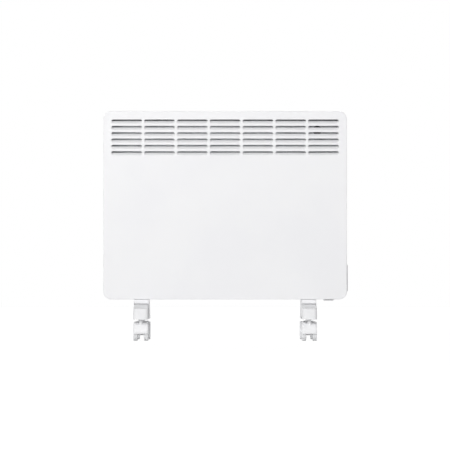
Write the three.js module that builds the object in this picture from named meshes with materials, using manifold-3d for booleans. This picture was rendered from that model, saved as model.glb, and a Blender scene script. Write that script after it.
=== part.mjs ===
// Panel convector heater on two castor feet. Millimetres, +Z up, the front faces -Y.
// The origin is the centre of the overall box, at floor level.
import * as THREE from 'three';
import { mergeVertices } from 'three/addons/utils/BufferGeometryUtils.js';
import Module from 'manifold-3d';

const wasm = await Module();
wasm.setup();

// ---- sheet metal and general fits
const sheet = 1; // casing steel
const bracketSheet = 1.2; // inner brackets and foot saddles
const seatGap = 0.3; // faces that rest on each other
const runGap = 0.3; // radial play of shafts, screws and bushes in their holes
const roundSteps = 24; // facets of a full round
const smallSteps = 10; // facets of small pins, screws and holes
const cornerSteps = 3; // facets of a panel corner

// ---- casing
const panelWidth = 582;
const panelHeight = 450;
const panelCorner = 19; // outline radius of the front
const casingDepth = 80; // front face to back face
const frontShellDepth = 64; // how far the front shell's walls run back
const lipOverlap = 10; // back pan nested inside the front shell
const edgeBend = 1.8; // outside radius of the folded edges

// ---- pressed louvres of the air outlet
const louvreRows = 6;
const louvreWidth = 73.6;
const louvreHeight = 10.7;
const louvreColumnGap = 4.8;
const louvreRowPitch = 15.15;
const louvreMargin = 19; // to the sides of the panel
const louvreDrop = 20; // below its top
const bladeRise = 7.1; // blade height; what is left above it is the open slit
const bladeDepth = 6.5; // how far the free edge is pressed in
const bladeCheek = 5; // length over which each end of a blade curls shut
const slitCorner = 4.4; // upper corners of a louvre

// ---- air inlet in the underside
const inletLength = 18;
const inletWidth = 5;
const inletPitch = 24;
const inletRowPitch = 14;
const inletRows = 2;
const inletSetback = 16; // first row behind the front face

// ---- heater inside
const leftBay = 28; // left wall to the left element support
const controlBay = 98; // right wall to the right element support
const elementHeight = 92; // underside of the casing to the element's middle
const elementCoreHeight = 30;
const elementCoreDepth = 9;
const finHeight = 58;
const finDepth = 38;
const finThickness = 1.4;
const finPitch = 15;
const elementEndGap = 12; // bare core between the last fin and the support
const studRadius = 4;
const studLength = 16;
const elementBushRadius = 7;
const elementBushFlange = 9;
const elementBushLength = 7;
const supportHeight = 74;
const supportFlange = 14;
const supportReach = 54; // from the back wall towards the front
const shieldHeight = 330;
const shieldStandoff = 16; // heat shield off the back wall
const shieldFlange = 12;
const shieldBase = 40; // above the casing's underside

// ---- overheat cut-out high up on the right
const cutoutSetIn = 70; // from the right wall
const cutoutDrop = 44; // below the casing's top
const cutoutRadius = 9;
const cutoutLength = 12;
const cutoutReach = 44; // bracket, from the back wall towards the front
const cutoutBracketWidth = 26;
const cutoutBracketHeight = 30;
const cutoutBracketFoot = 13;
const cutoutRim = 2; // flange, both thick and proud

// ---- blade terminals on the electrical parts
const tabWidth = 6;
const tabThickness = 0.9;
const tabLength = 6.5;

// ---- terminal block and cable gland
const terminalSetIn = 74;
const terminalRise = 30;
const terminalLength = 40;
const terminalHeight = 18;
const terminalDepth = 14;
const terminalWays = 3;
const wireHole = 1.6;
const glandSetIn = 46;
const glandRise = 30;
const glandBore = 4;
const glandNeck = 8;
const glandFlange = 11;
const glandFlangeThickness = 2.5;
const glandDepth = 9;

// ---- hanging slots in the back
const hangSlotWidth = 24;
const hangSlotHeight = 9;
const hangSlotSetIn = 150;
const hangSlotDrop = 150; // below the louvres, so that no slot shows through them
const hangSlotRise = 60;

// ---- side controls
const bezelHeight = 63;
const bezelWidth = 38;
const bezelProud = 2.5;
const bezelCorner = 5;
const bezelSetback = 10; // behind the front face
const bezelLap = 2; // flange over the edge of the cut-out
const housingDepth = 22;
const housingWall = 2;
const dialRadius = 14;
const dialWellGap = 0.6;
const dialWellDepth = 9;
const dialDisc = 3;
const gripWidth = 6;
const gripLength = 23;
const pointerWidth = 1.2; // groove at the end of the grip
const pointerLength = 6;
const pointerDepth = 0.6;
const shaftRadius = 3;
const shaftInDial = 5;
const thermostatWidth = 26;
const thermostatHeight = 32;
const thermostatDepth = 20;

// ---- on/off rocker in the underside
const switchSetIn = 43; // from the right wall
const switchSetback = 28; // behind the front face
const switchFlangeLength = 24;
const switchFlangeWidth = 15;
const switchFlangeThickness = 1.5;
const switchBodyLength = 21.5;
const switchBodyWidth = 12.5;
const switchBodyHeight = 19;
const rockerLength = 18;
const rockerWidth = 9;
const rockerProud = 2.7; // raised end below the flange
const rockerTilt = 9; // degrees either side of level
const rockerDepth = 5;

// ---- feet
const footInset = 91; // side of the casing to the middle of a foot
const railWidth = 35.6;
const railWaist = 0.95; // drawn in on each side, where the saddle's flanges lie
const railTaper = 50; // length over which it widens again towards each nose
const railLength = 224;
const noseHeight = 26;
const railSlopeTop = 35.5; // rail height where it meets the saddle
const railNoseCorner = 9;
const railEdge = 3; // softened top of the nose
const railWall = 3.5;
const railPockets = 2; // on either side of each screw pair
const saddleLength = 76;
const saddleLift = 2.7; // rail's underside up to the saddle's lower edge
const saddleCorner = 8;
const noseplateHeight = 10.4; // folded plate that closes the saddle's ends
const noseplateGap = 0.8; // plate above the rail
const footScrewFront = 20; // ahead of the casing's middle
const footScrewRear = 30; // behind it
const screwRadius = 2.5;
const screwHeadRadius = 4.8;
const screwHeadHeight = 3.4;
const screwSeat = 20; // depth of the counterbore in the rail
const screwBoss = 8;
const nutAcross = 8;
const nutHeight = 4;

// ---- castors
const wheelRadius = 20;
const wheelWidth = 10.2;
const wheelGap = 14.8; // between the twin wheels
const treadEdge = 1.2;
const hubDish = 2.3;
const hubDishRadius = 14.5;
const castorSpan = 180; // between the two stems of a foot
const castorTrail = 16;
const hoodRadius = 25.6;
const hoodWall = 3;
const hoodWidth = 35.4;
const hoodShoulder = 5.5;
const hoodFrontDrop = 3.3; // front edge below the axle
const hoodRearAngle = 15; // degrees above the axle
const webGap = 0.5;
const hubRadius = 7;
const axleRadius = 3;
const axleHeadRadius = 4.6;
const axleHead = 1.2;
const stemBossRadius = 4.5;
const stemBossRise = 28.7; // above the axle
const stemRadius = 3.4;
const stemInBoss = 17;
const stemLength = 40;
const stemGroove = 6; // snap groove below the stem's tip
const bushRadius = 5.6;
const bushFlangeRadius = 7;
const bushFlange = 1.7;
const bushLength = 24;

// ---- heights above the floor, from the wheels up
const axleZ = wheelRadius;
const bossTopZ = axleZ + stemBossRise;
const railZ = bossTopZ + runGap + bushFlange + seatGap;
const casingZ = railZ + railSlopeTop + noseplateGap + noseplateHeight + seatGap;
const panelMidZ = casingZ + panelHeight / 2;

// ---- planes of the casing
const frontY = -casingDepth / 2;
const backY = casingDepth / 2;
const shellBackY = frontY + frontShellDepth;
const panInset = sheet + seatGap;
const wallX = panelWidth / 2;
const backInnerY = backY - sheet;

const finish = (color, roughness, metalness) =>
  new THREE.MeshStandardMaterial({ color, roughness, metalness });
const paint = [0xf4f4f5, 0.42, 0];
const whitePlastic = [0xf1f1f3, 0.5, 0];
const greyTyre = [0xdfe0e3, 0.6, 0];
const galvanised = [0xb9bcc0, 0.45, 0.8];
const aluminium = [0xc4c6c9, 0.5, 0.85];
const ceramic = [0xe9e3d6, 0.75, 0];
const blackPlastic = [0x1d1d20, 0.55, 0];
const steel = [0xc2c4c7, 0.35, 0.9];

// ------------------------------------------------------------------ solids and cuts

// A closed geometry as a solid that can be cut.
function solid(geometry) {
  const bare = geometry.clone();
  bare.deleteAttribute('normal');
  bare.deleteAttribute('uv');
  const merged = mergeVertices(bare, 1e-4);
  const vertProperties = new Float32Array(merged.attributes.position.array);
  const triVerts = new Uint32Array(merged.index.array);
  return new wasm.Manifold(new wasm.Mesh({ numProp: 3, vertProperties, triVerts }));
}

// The cut solid back as a geometry.
function meshOf(body) {
  const { numProp, vertProperties, triVerts } = body.getMesh();
  const corners = new Float32Array((vertProperties.length / numProp) * 3);
  for (let i = 0; i < corners.length / 3; i += 1) {
    corners.set(vertProperties.subarray(i * numProp, i * numProp + 3), i * 3);
  }
  const geometry = new THREE.BufferGeometry();
  geometry.setAttribute('position', new THREE.BufferAttribute(corners, 3));
  geometry.setIndex(new THREE.BufferAttribute(triVerts, 1));
  geometry.computeVertexNormals();
  return geometry;
}

const join = (...parts) => parts.map(solid).reduce((sum, part) => sum.add(part));
const cut = (body, ...tools) => tools.map(solid).reduce((rest, tool) => rest.subtract(tool), body);

// A box between two corners.
function block(x0, x1, y0, y1, z0, z1) {
  const box = new THREE.BoxGeometry(x1 - x0, y1 - y0, z1 - z0);
  return box.translate((x0 + x1) / 2, (y0 + y1) / 2, (z0 + z1) / 2);
}

// A shape drawn as seen from the front (x, z), solid from y0 back to y1.
function frontal(shape, y0, y1, curveSegments = 3) {
  const body = new THREE.ExtrudeGeometry(shape, { depth: y1 - y0, bevelEnabled: false, curveSegments });
  return body.rotateX(Math.PI / 2).translate(0, y1, 0);
}

// A shape drawn as seen from the right (y, z), solid from x0 to x1.
function sideways(shape, x0, x1, curveSegments = 3) {
  const body = new THREE.ExtrudeGeometry(shape, { depth: x1 - x0, bevelEnabled: false, curveSegments });
  return body.rotateX(Math.PI / 2).rotateZ(Math.PI / 2).translate(x0, 0, 0);
}

// A shape drawn in plan (x, y), solid from z0 up to z1.
function upright(shape, z0, z1, curveSegments = 3) {
  const body = new THREE.ExtrudeGeometry(shape, { depth: z1 - z0, bevelEnabled: false, curveSegments });
  return body.translate(0, 0, z0);
}

// A closed outline of [radius, distance along the axis] turned about X, with a flat facet at the bottom.
function turnedX(outline, steps = roundSteps) {
  const points = outline.map(([radius, along]) => new THREE.Vector2(radius, along));
  return new THREE.LatheGeometry(points, steps, Math.PI / steps).rotateZ(-Math.PI / 2);
}

// The same about Z, upwards.
function turnedZ(outline, steps = roundSteps) {
  const points = outline.map(([radius, along]) => new THREE.Vector2(radius, along));
  return new THREE.LatheGeometry(points, steps).rotateX(Math.PI / 2);
}

const rod = (radius, from, to) => [[0, from], [radius, from], [radius, to], [0, to]];

// A hole's facets lie inside its circle, so the circle grows until they clear the shaft.
const holeRadius = (radius, gap, steps = roundSteps) => (radius + gap) / Math.cos(Math.PI / steps);

function roundedRectangle(width, height, corner, middleX = 0, middleY = 0) {
  const [x0, x1] = [middleX - width / 2, middleX + width / 2];
  const [y0, y1] = [middleY - height / 2, middleY + height / 2];
  const shape = new THREE.Shape();
  shape.moveTo(x0 + corner, y0);
  shape.lineTo(x1 - corner, y0);
  shape.absarc(x1 - corner, y0 + corner, corner, -Math.PI / 2, 0, false);
  shape.lineTo(x1, y1 - corner);
  shape.absarc(x1 - corner, y1 - corner, corner, 0, Math.PI / 2, false);
  shape.lineTo(x0 + corner, y1);
  shape.absarc(x0 + corner, y1 - corner, corner, Math.PI / 2, Math.PI, false);
  shape.lineTo(x0, y0 + corner);
  shape.absarc(x0 + corner, y0 + corner, corner, Math.PI, Math.PI * 1.5, false);
  return shape;
}

function polygon(points) {
  return new THREE.Shape(points.map(([x, y]) => new THREE.Vector2(x, y)));
}

// Closes a surface from triangles given as corner positions.
function fromTriangles(triangles) {
  const geometry = new THREE.BufferGeometry();
  const numbers = triangles.flatMap((corner) => [corner.x, corner.y, corner.z]);
  geometry.setAttribute('position', new THREE.Float32BufferAttribute(numbers, 3));
  return geometry;
}

// Loops in planes of constant y, ordered from front to back, skinned and capped.
function loft(loops) {
  const triangles = [];
  const count = loops[0].length;
  for (let i = 0; i + 1 < loops.length; i += 1) {
    for (let j = 0; j < count; j += 1) {
      const next = (j + 1) % count;
      const [a, b] = [loops[i][j], loops[i][next]];
      const [d, c] = [loops[i + 1][j], loops[i + 1][next]];
      triangles.push(a, d, b, b, d, c);
    }
  }
  const flat = loops[0].map((point) => new THREE.Vector2(point.x, point.z));
  const last = loops[loops.length - 1];
  for (const [a, b, c] of THREE.ShapeUtils.triangulateShape(flat, [])) {
    triangles.push(loops[0][a], loops[0][b], loops[0][c], last[a], last[c], last[b]);
  }
  return fromTriangles(triangles);
}

// The space between two grids of points that share their layout, the first one facing the viewer.
function between(front, back) {
  const triangles = [];
  const quad = (a, b, c, d) => triangles.push(a, b, c, a, c, d);
  const [rows, columns] = [front.length, front[0].length];
  for (let i = 0; i + 1 < rows; i += 1) {
    for (let j = 0; j + 1 < columns; j += 1) {
      quad(front[i][j], front[i][j + 1], front[i + 1][j + 1], front[i + 1][j]);
      quad(back[i][j], back[i + 1][j], back[i + 1][j + 1], back[i][j + 1]);
    }
  }
  for (let j = 0; j + 1 < columns; j += 1) {
    quad(front[0][j], back[0][j], back[0][j + 1], front[0][j + 1]);
    quad(front[rows - 1][j + 1], back[rows - 1][j + 1], back[rows - 1][j], front[rows - 1][j]);
  }
  for (let i = 0; i + 1 < rows; i += 1) {
    quad(front[i + 1][0], back[i + 1][0], back[i][0], front[i][0]);
    quad(front[i][columns - 1], back[i][columns - 1], back[i + 1][columns - 1], front[i + 1][columns - 1]);
  }
  return fromTriangles(triangles);
}

// ------------------------------------------------------------------ casing

// The panel's outline at one depth, drawn in by an inset.
function panelLoop(inset, y) {
  const [halfWidth, halfHeight] = [panelWidth / 2 - panelCorner, panelHeight / 2 - panelCorner];
  const radius = panelCorner - inset;
  const corners = [[1, -1], [1, 1], [-1, 1], [-1, -1]];
  return corners.flatMap(([right, up], corner) => Array.from({ length: cornerSteps + 1 }, (_, step) => {
    const angle = (corner - 1 + step / cornerSteps) * (Math.PI / 2);
    const x = right * halfWidth + radius * Math.cos(angle);
    return new THREE.Vector3(x, y, panelMidZ + up * halfHeight + radius * Math.sin(angle));
  }));
}

// Stations of a folded edge: how far along the depth, and how far in.
function foldStations(radius) {
  const steps = [0, Math.PI / 4, Math.PI / 2];
  return steps.map((angle) => [radius * (1 - Math.sin(angle)), radius * (1 - Math.cos(angle))]);
}

// A tray closed at the front: walls run back from a folded front edge.
function frontTray(inset, y0, y1, bend) {
  const folds = foldStations(bend).map(([inward, along]) => panelLoop(inset + inward, y0 + along));
  return loft([...folds, panelLoop(inset, y1)]);
}

// The same, closed at the back.
function backTray(inset, y0, y1, bend) {
  const folds = foldStations(bend).map(([inward, along]) => panelLoop(inset + inward, y1 - along));
  return loft([panelLoop(inset, y0), ...folds.reverse()]);
}

const louvrePitch = louvreWidth + louvreColumnGap;
const louvreColumns = Math.floor((panelWidth - 2 * louvreMargin + louvreColumnGap) / louvrePitch + 0.01);

// Lower edge of each louvre, with its middle in x.
function louvrePlaces() {
  const places = [];
  for (let row = 0; row < louvreRows; row += 1) {
    const z = casingZ + panelHeight - louvreDrop - louvreHeight - row * louvreRowPitch;
    for (let column = 0; column < louvreColumns; column += 1) {
      places.push([(column - (louvreColumns - 1) / 2) * louvrePitch, z]);
    }
  }
  return places;
}

// The opening pressed out of the sheet: square below, where the blade is hinged, rounded above.
function louvreOpening() {
  const half = louvreWidth / 2;
  const shape = new THREE.Shape();
  shape.moveTo(-half, 0);
  shape.lineTo(half, 0);
  shape.lineTo(half, louvreHeight - slitCorner);
  shape.absarc(half - slitCorner, louvreHeight - slitCorner, slitCorner, 0, Math.PI / 2, false);
  shape.lineTo(-half + slitCorner, louvreHeight);
  shape.absarc(-half + slitCorner, louvreHeight - slitCorner, slitCorner, Math.PI / 2, Math.PI, false);
  return frontal(shape, frontY - sheet, frontY + 2 * sheet, 1);
}

// The blade: still joined to the sheet along its lower edge and both ends, its top edge pressed in.
function louvreBlade() {
  const lap = 0.4;
  const half = louvreWidth / 2;
  const ends = [0, bladeCheek * 0.36, bladeCheek];
  const across = [-lap, ...ends, ...ends.map((end) => louvreWidth - end).reverse(), louvreWidth + lap];
  const up = [-lap, 0, bladeRise * 0.45, bladeRise];
  const pressed = (x, z) => {
    const fromEnd = Math.max(0, Math.min(x, louvreWidth - x, bladeCheek)) / bladeCheek;
    const risen = Math.max(0, z) / bladeRise;
    return bladeDepth * Math.sin((fromEnd * Math.PI) / 2) * risen ** 1.35;
  };
  const layer = (y) => up.map((z) => across.map((x) => new THREE.Vector3(x - half, y + pressed(x, z), z)));
  return between(layer(frontY), layer(frontY + sheet));
}

// Slots in the underside between the feet, where the air comes in.
function inletSlots() {
  const slots = [];
  const reach = wallX - footInset - railWidth / 2 - inletLength;
  const count = Math.floor((2 * reach) / inletPitch);
  for (let row = 0; row < inletRows; row += 1) {
    const y = frontY + inletSetback + row * inletRowPitch;
    for (let i = 0; i < count; i += 1) {
      const x = (i - (count - 1) / 2) * inletPitch;
      const [x0, x1] = [x - inletLength / 2, x + inletLength / 2];
      slots.push(block(x0, x1, y, y + inletWidth, casingZ - sheet, casingZ + 2 * sheet));
    }
  }
  return slots;
}

const controls = {
  y: frontY + bezelSetback + bezelWidth / 2,
  z: casingZ + panelCorner + bezelHeight / 2,
  width: bezelWidth - 2 * bezelLap,
  height: bezelHeight - 2 * bezelLap,
};
const rocker = { x: wallX - switchSetIn, y: frontY + switchSetback };
const footXs = { left: -(wallX - footInset), right: wallX - footInset };
const footScrewYs = { front: -footScrewFront, rear: footScrewRear };

// A round hole down through the casing's underside for a foot screw.
function footHole(x, y) {
  const radius = holeRadius(screwRadius, runGap, smallSteps);
  return turnedZ(rod(radius, casingZ - 2, casingZ + panInset + 2 * sheet), smallSteps).translate(x, y, 0);
}

function frontCasing() {
  let body = cut(
    join(frontTray(0, frontY, shellBackY, edgeBend)),
    frontTray(sheet, frontY + sheet, shellBackY + sheet, edgeBend - sheet),
    ...inletSlots(),
    footHole(footXs.left, footScrewYs.front),
    footHole(footXs.right, footScrewYs.front),
    controlCutout(),
    switchCutout(),
  );
  const [opening, blade] = [louvreOpening(), louvreBlade()];
  for (const [x, z] of louvrePlaces()) {
    body = body.subtract(solid(opening.clone().translate(x, 0, z)));
    body = body.add(solid(blade.clone().translate(x, 0, z)));
  }
  return meshOf(body);
}

function controlCutout() {
  const clear = 2 * seatGap;
  const corner = bezelCorner - bezelLap + seatGap;
  const [width, height] = [controls.width + clear, controls.height + clear];
  const shape = roundedRectangle(width, height, corner, controls.y, controls.z);
  return sideways(shape, wallX - 2 * sheet, wallX + sheet);
}

function switchCutout() {
  const [halfLength, halfWidth] = [switchBodyLength / 2 + seatGap, switchBodyWidth / 2 + seatGap];
  const [x0, x1] = [rocker.x - halfLength, rocker.x + halfLength];
  return block(x0, x1, rocker.y - halfWidth, rocker.y + halfWidth, casingZ - sheet, casingZ + 2 * sheet);
}

function hangSlots() {
  const heights = [casingZ + hangSlotRise, casingZ + panelHeight - hangSlotDrop];
  const sides = [-(wallX - hangSlotSetIn), wallX - hangSlotSetIn];
  return heights.flatMap((z) => sides.map((x) => {
    const shape = roundedRectangle(hangSlotWidth, hangSlotHeight, hangSlotHeight / 3, x, z);
    return frontal(shape, backY - 3 * sheet, backY + sheet, 1);
  }));
}

const gland = { x: wallX - glandSetIn, z: casingZ + glandRise };

// A turned piece that stands out of the back wall.
const facingBack = (outline) => turnedZ(outline, smallSteps).rotateX(-Math.PI / 2);

function glandHole() {
  const radius = holeRadius(glandNeck, runGap, smallSteps);
  return facingBack(rod(radius, backY - 3 * sheet, backY + sheet)).translate(gland.x, 0, gland.z);
}

function backPanel() {
  const lipY = shellBackY - lipOverlap;
  const body = cut(
    join(backTray(panInset, lipY, backY, edgeBend)),
    backTray(panInset + sheet, lipY - sheet, backInnerY, edgeBend - sheet),
    ...hangSlots(),
    glandHole(),
    footHole(footXs.left, footScrewYs.rear),
    footHole(footXs.right, footScrewYs.rear),
  );
  return meshOf(body);
}

// Snap bushing that lines the cable entry.
function cableGland() {
  const bore = glandBore;
  const outline = [
    [bore, backY - glandDepth], [glandNeck, backY - glandDepth], [glandNeck, backY + seatGap],
    [glandFlange, backY + seatGap], [glandFlange - 1, backY + seatGap + glandFlangeThickness],
    [bore + 1, backY + seatGap + glandFlangeThickness], [bore, backY + seatGap + 1],
    [bore, backY - glandDepth],
  ];
  return facingBack(outline).translate(gland.x, 0, gland.z);
}

// ------------------------------------------------------------------ heating parts

const elementZ = casingZ + elementHeight;
const supportXs = { left: -(wallX - leftBay), right: wallX - controlBay };

// Cast aluminium element: a flat bar with cross fins and a bare stud at each end.
function heatingElement() {
  const x0 = supportXs.left + elementBushLength / 2 + seatGap + 1;
  const x1 = supportXs.right - elementBushLength / 2 - seatGap - 1;
  const [halfCore, halfDepth] = [elementCoreHeight / 2, elementCoreDepth / 2];
  let body = solid(block(x0, x1, -halfDepth, halfDepth, elementZ - halfCore, elementZ + halfCore));
  for (const [end, out] of [[x0, -1], [x1, 1]]) {
    const stud = turnedX(rod(studRadius, -1, studLength), smallSteps).rotateZ(out < 0 ? Math.PI : 0);
    body = body.add(solid(stud.translate(end, 0, elementZ)));
  }
  const finned = x1 - x0 - 2 * elementEndGap;
  const count = Math.floor(finned / finPitch) + 1;
  for (let i = 0; i < count; i += 1) {
    const x = (x0 + x1) / 2 + (i - (count - 1) / 2) * finPitch;
    const fin = new THREE.BoxGeometry(finThickness, finDepth, finHeight).translate(x, 0, elementZ);
    body = body.add(solid(fin));
  }
  return meshOf(body);
}

// Ceramic sleeve that insulates a stud from its support.
function elementBush(x) {
  const [inner, half] = [holeRadius(studRadius, runGap, smallSteps), elementBushLength / 2];
  const shoulder = bracketSheet / 2 + seatGap;
  const outline = [
    [inner, -half], [elementBushRadius, -half], [elementBushRadius, shoulder],
    [elementBushFlange, shoulder], [elementBushFlange, half], [inner, half], [inner, -half],
  ];
  return turnedX(outline, smallSteps).translate(x, 0, elementZ);
}

// Folded plate that stands on the back wall and carries one end of the element.
function elementSupport(x) {
  const y1 = backInnerY - seatGap;
  const y0 = y1 - supportReach;
  const [z0, z1] = [elementZ - supportHeight / 2, elementZ + supportHeight / 2];
  const outline = roundedRectangle(y1 - y0, z1 - z0, 5, (y0 + y1) / 2, elementZ);
  const plate = sideways(outline, x - bracketSheet / 2, x + bracketSheet / 2, 1);
  const foot = block(x - bracketSheet / 2, x + supportFlange, y1 - bracketSheet, y1, z0 + 6, z1 - 6);
  const hole = turnedX(rod(holeRadius(elementBushRadius, runGap, smallSteps), -5, 5), smallSteps);
  return meshOf(cut(join(plate, foot), hole.translate(x, 0, elementZ)));
}

// Bent sheet that keeps the warm air off the back panel.
function heatShield() {
  const [x0, x1] = [supportXs.left + supportFlange + 3, supportXs.right - 3];
  const [z0, z1] = [casingZ + shieldBase, casingZ + shieldBase + shieldHeight];
  const wallY = backInnerY - seatGap;
  const [faceY, t] = [backInnerY - shieldStandoff, sheet];
  const shape = polygon([
    [wallY, z0], [wallY, z0 + shieldFlange], [wallY - t, z0 + shieldFlange], [wallY - t, z0 + t],
    [faceY + t, z0 + t], [faceY + t, z1 - t], [wallY - t, z1 - t], [wallY - t, z1 - shieldFlange],
    [wallY, z1 - shieldFlange], [wallY, z1], [faceY, z1], [faceY, z0],
  ]);
  return sideways(shape, x0, x1);
}

const cutoutX = wallX - cutoutSetIn;
const cutoutZ = casingZ + panelHeight - cutoutDrop;

// Z-shaped bracket that holds the overheat cut-out in the rising air.
function cutoutBracket() {
  const wallY = backInnerY - seatGap;
  const [y0, half, t] = [wallY - cutoutReach, cutoutBracketHeight / 2, bracketSheet];
  const shape = polygon([
    [y0, cutoutZ - half], [y0 + t, cutoutZ - half], [y0 + t, cutoutZ + half - t],
    [wallY - t, cutoutZ + half - t], [wallY - t, cutoutZ + half - cutoutBracketFoot],
    [wallY, cutoutZ + half - cutoutBracketFoot], [wallY, cutoutZ + half], [y0, cutoutZ + half],
  ]);
  return sideways(shape, cutoutX - cutoutBracketWidth / 2, cutoutX + cutoutBracketWidth / 2);
}

// Round snap-action cut-out with a flange and two blade terminals.
function overheatCutout() {
  const seat = backInnerY - seatGap - cutoutReach - seatGap;
  const outline = [
    [0, -cutoutLength], [cutoutRadius - 1, -cutoutLength], [cutoutRadius, 1 - cutoutLength],
    [cutoutRadius, -cutoutRim], [cutoutRadius + cutoutRim, -cutoutRim], [cutoutRadius + cutoutRim, 0], [0, 0],
  ];
  const can = facingBack(outline).translate(cutoutX, seat, cutoutZ);
  const [half, bladeY] = [tabWidth / 2, seat - cutoutLength];
  const blades = [-1, 1].map((side) => {
    const x = cutoutX + side * (cutoutRadius / 2);
    const [x0, x1] = [x - tabThickness / 2, x + tabThickness / 2];
    return block(x0, x1, bladeY - tabLength, bladeY + 1, cutoutZ - half, cutoutZ + half);
  });
  return meshOf(join(can, ...blades));
}

function terminalBlock() {
  const [x0, z0] = [wallX - terminalSetIn - terminalLength / 2, casingZ + terminalRise - terminalHeight / 2];
  const y1 = backInnerY - seatGap;
  const bar = block(x0, x0 + terminalLength, y1 - terminalDepth, y1, z0, z0 + terminalHeight);
  const holes = [];
  const pitch = terminalLength / terminalWays;
  for (let i = 0; i < terminalWays; i += 1) {
    const hole = turnedZ(rod(wireHole, z0 - 1, z0 + terminalHeight + 1), 8);
    holes.push(hole.translate(x0 + (i + 0.5) * pitch, y1 - terminalDepth / 2, 0));
  }
  const slots = [1, 2].map((i) => {
    const [x, y] = [x0 + i * pitch, y1 - terminalDepth];
    return block(x - 0.8, x + 0.8, y - 1, y + terminalDepth / 2, z0 - 1, z0 + terminalHeight + 1);
  });
  return meshOf(cut(join(bar), ...holes, ...slots));
}

// ------------------------------------------------------------------ controls

const bezelFaceX = wallX + bezelProud;
const wellFloorX = bezelFaceX - dialWellDepth;

// Moulded frame in the side wall: flange outside, hollow housing inside, round well for the dial.
function controlBezel() {
  const { y, z, width, height } = controls;
  const flangeX = wallX + seatGap;
  const flange = sideways(roundedRectangle(bezelWidth, bezelHeight, bezelCorner, y, z), flangeX, bezelFaceX);
  const wall = 2 * housingWall;
  const outer = roundedRectangle(width, height, bezelCorner - bezelLap, y, z);
  const inner = roundedRectangle(width - wall, height - wall, 1, y, z);
  const housing = sideways(outer, wallX - housingDepth, flangeX + 1);
  const hollow = sideways(inner, wallX - housingDepth - 1, bezelFaceX - housingWall, 1);
  const wellRadius = holeRadius(dialRadius, dialWellGap);
  const boreRadius = holeRadius(shaftRadius, runGap, smallSteps);
  const cup = turnedX(rod(wellRadius + housingWall, wellFloorX - housingWall, bezelFaceX - 1));
  const well = turnedX(rod(wellRadius, wellFloorX, bezelFaceX + 1));
  const bore = turnedX(rod(boreRadius, wellFloorX - 5, wellFloorX + 1), smallSteps);
  const shell = cut(join(flange, housing), hollow).add(solid(cup.translate(0, y, z)));
  return meshOf(cut(shell, well.translate(0, y, z), bore.translate(0, y, z)));
}

// Dial with a grip bar across its face, flush with the bezel. Modelled about its own axis.
function thermostatDial() {
  const depth = dialWellDepth - 2 * seatGap;
  const outline = [
    [0, 0], [dialRadius, 0], [dialRadius, dialDisc - 0.8], [dialRadius - 0.8, dialDisc], [0, dialDisc],
  ];
  const grip = sideways(roundedRectangle(gripWidth, gripLength, gripWidth / 2 - 0.1), 1, depth, 2);
  const boreRadius = holeRadius(shaftRadius, runGap, smallSteps);
  const bore = turnedX(rod(boreRadius, -1, shaftInDial + seatGap), smallSteps);
  const [half, tip] = [pointerWidth / 2, gripLength / 2 - 1];
  const pointer = block(depth - pointerDepth, depth + 1, -half, half, tip - pointerLength, tip);
  return meshOf(cut(join(turnedX(outline), grip), bore, pointer));
}

// Where the thermostat's front face lies, against the back of the well.
const thermostatX = wellFloorX - housingWall - seatGap;

function thermostatShaft() {
  return turnedX(rod(shaftRadius, thermostatX + seatGap, wellFloorX + seatGap + shaftInDial), smallSteps);
}

function thermostatBody() {
  const shape = roundedRectangle(thermostatWidth, thermostatHeight, 2);
  const box = sideways(shape, thermostatX - thermostatDepth, thermostatX, 1);
  const [rear, half] = [thermostatX - thermostatDepth, tabWidth / 2];
  const tabs = [-1, 1].map((side) => {
    const z = (side * thermostatHeight) / 4;
    return block(rear - tabLength, rear + 1, -half, half, z - tabThickness / 2, z + tabThickness / 2);
  });
  return meshOf(join(box, ...tabs));
}

// Frame of the rocker: a thin flange under the casing and a box that stands up inside it.
function switchFrame() {
  const flangeTop = casingZ - seatGap;
  const [halfL, halfW] = [switchFlangeLength / 2, switchFlangeWidth / 2];
  const flangeFoot = flangeTop - switchFlangeThickness;
  const flange = upright(roundedRectangle(2 * halfL, 2 * halfW, 2), flangeFoot, flangeTop, 1);
  const [bodyL, bodyW] = [switchBodyLength / 2, switchBodyWidth / 2];
  const body = block(-bodyL, bodyL, -bodyW, bodyW, flangeTop - 1, casingZ + switchBodyHeight);
  const [wellL, wellW] = [rockerLength / 2 + 0.8, rockerWidth / 2 + 0.5];
  const well = block(-wellL, wellL, -wellW, wellW, flangeFoot - 1, casingZ + rockerDepth + 3);
  const [top, half] = [casingZ + switchBodyHeight, tabWidth / 2];
  const tabs = [-1, 1].map((side) => {
    const x = side * (switchBodyLength / 2 - tabLength / 2);
    return block(x - tabThickness / 2, x + tabThickness / 2, -half, half, top - 1, top + tabLength);
  });
  return meshOf(cut(join(flange, body), well).add(join(...tabs)));
}

// Rocker about its own pivot: a shallow V whose ends take turns to stand out.
function switchRocker() {
  const half = rockerLength / 2;
  const lean = Math.tan(THREE.MathUtils.degToRad(rockerTilt)) * half;
  const shape = polygon([
    [-half, rockerDepth], [-half, -rockerProud + lean], [-half + 1, -rockerProud + lean - 0.6],
    [0, -rockerProud + 2 * lean - 0.6], [half - 1, -rockerProud + lean - 0.6], [half, -rockerProud + lean],
    [half, rockerDepth],
  ]);
  return frontal(shape, -rockerWidth / 2, rockerWidth / 2);
}

// ------------------------------------------------------------------ feet

const screwSeatZ = railZ + screwSeat;
const railTopZ = casingZ - seatGap - bracketSheet - seatGap;

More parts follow.
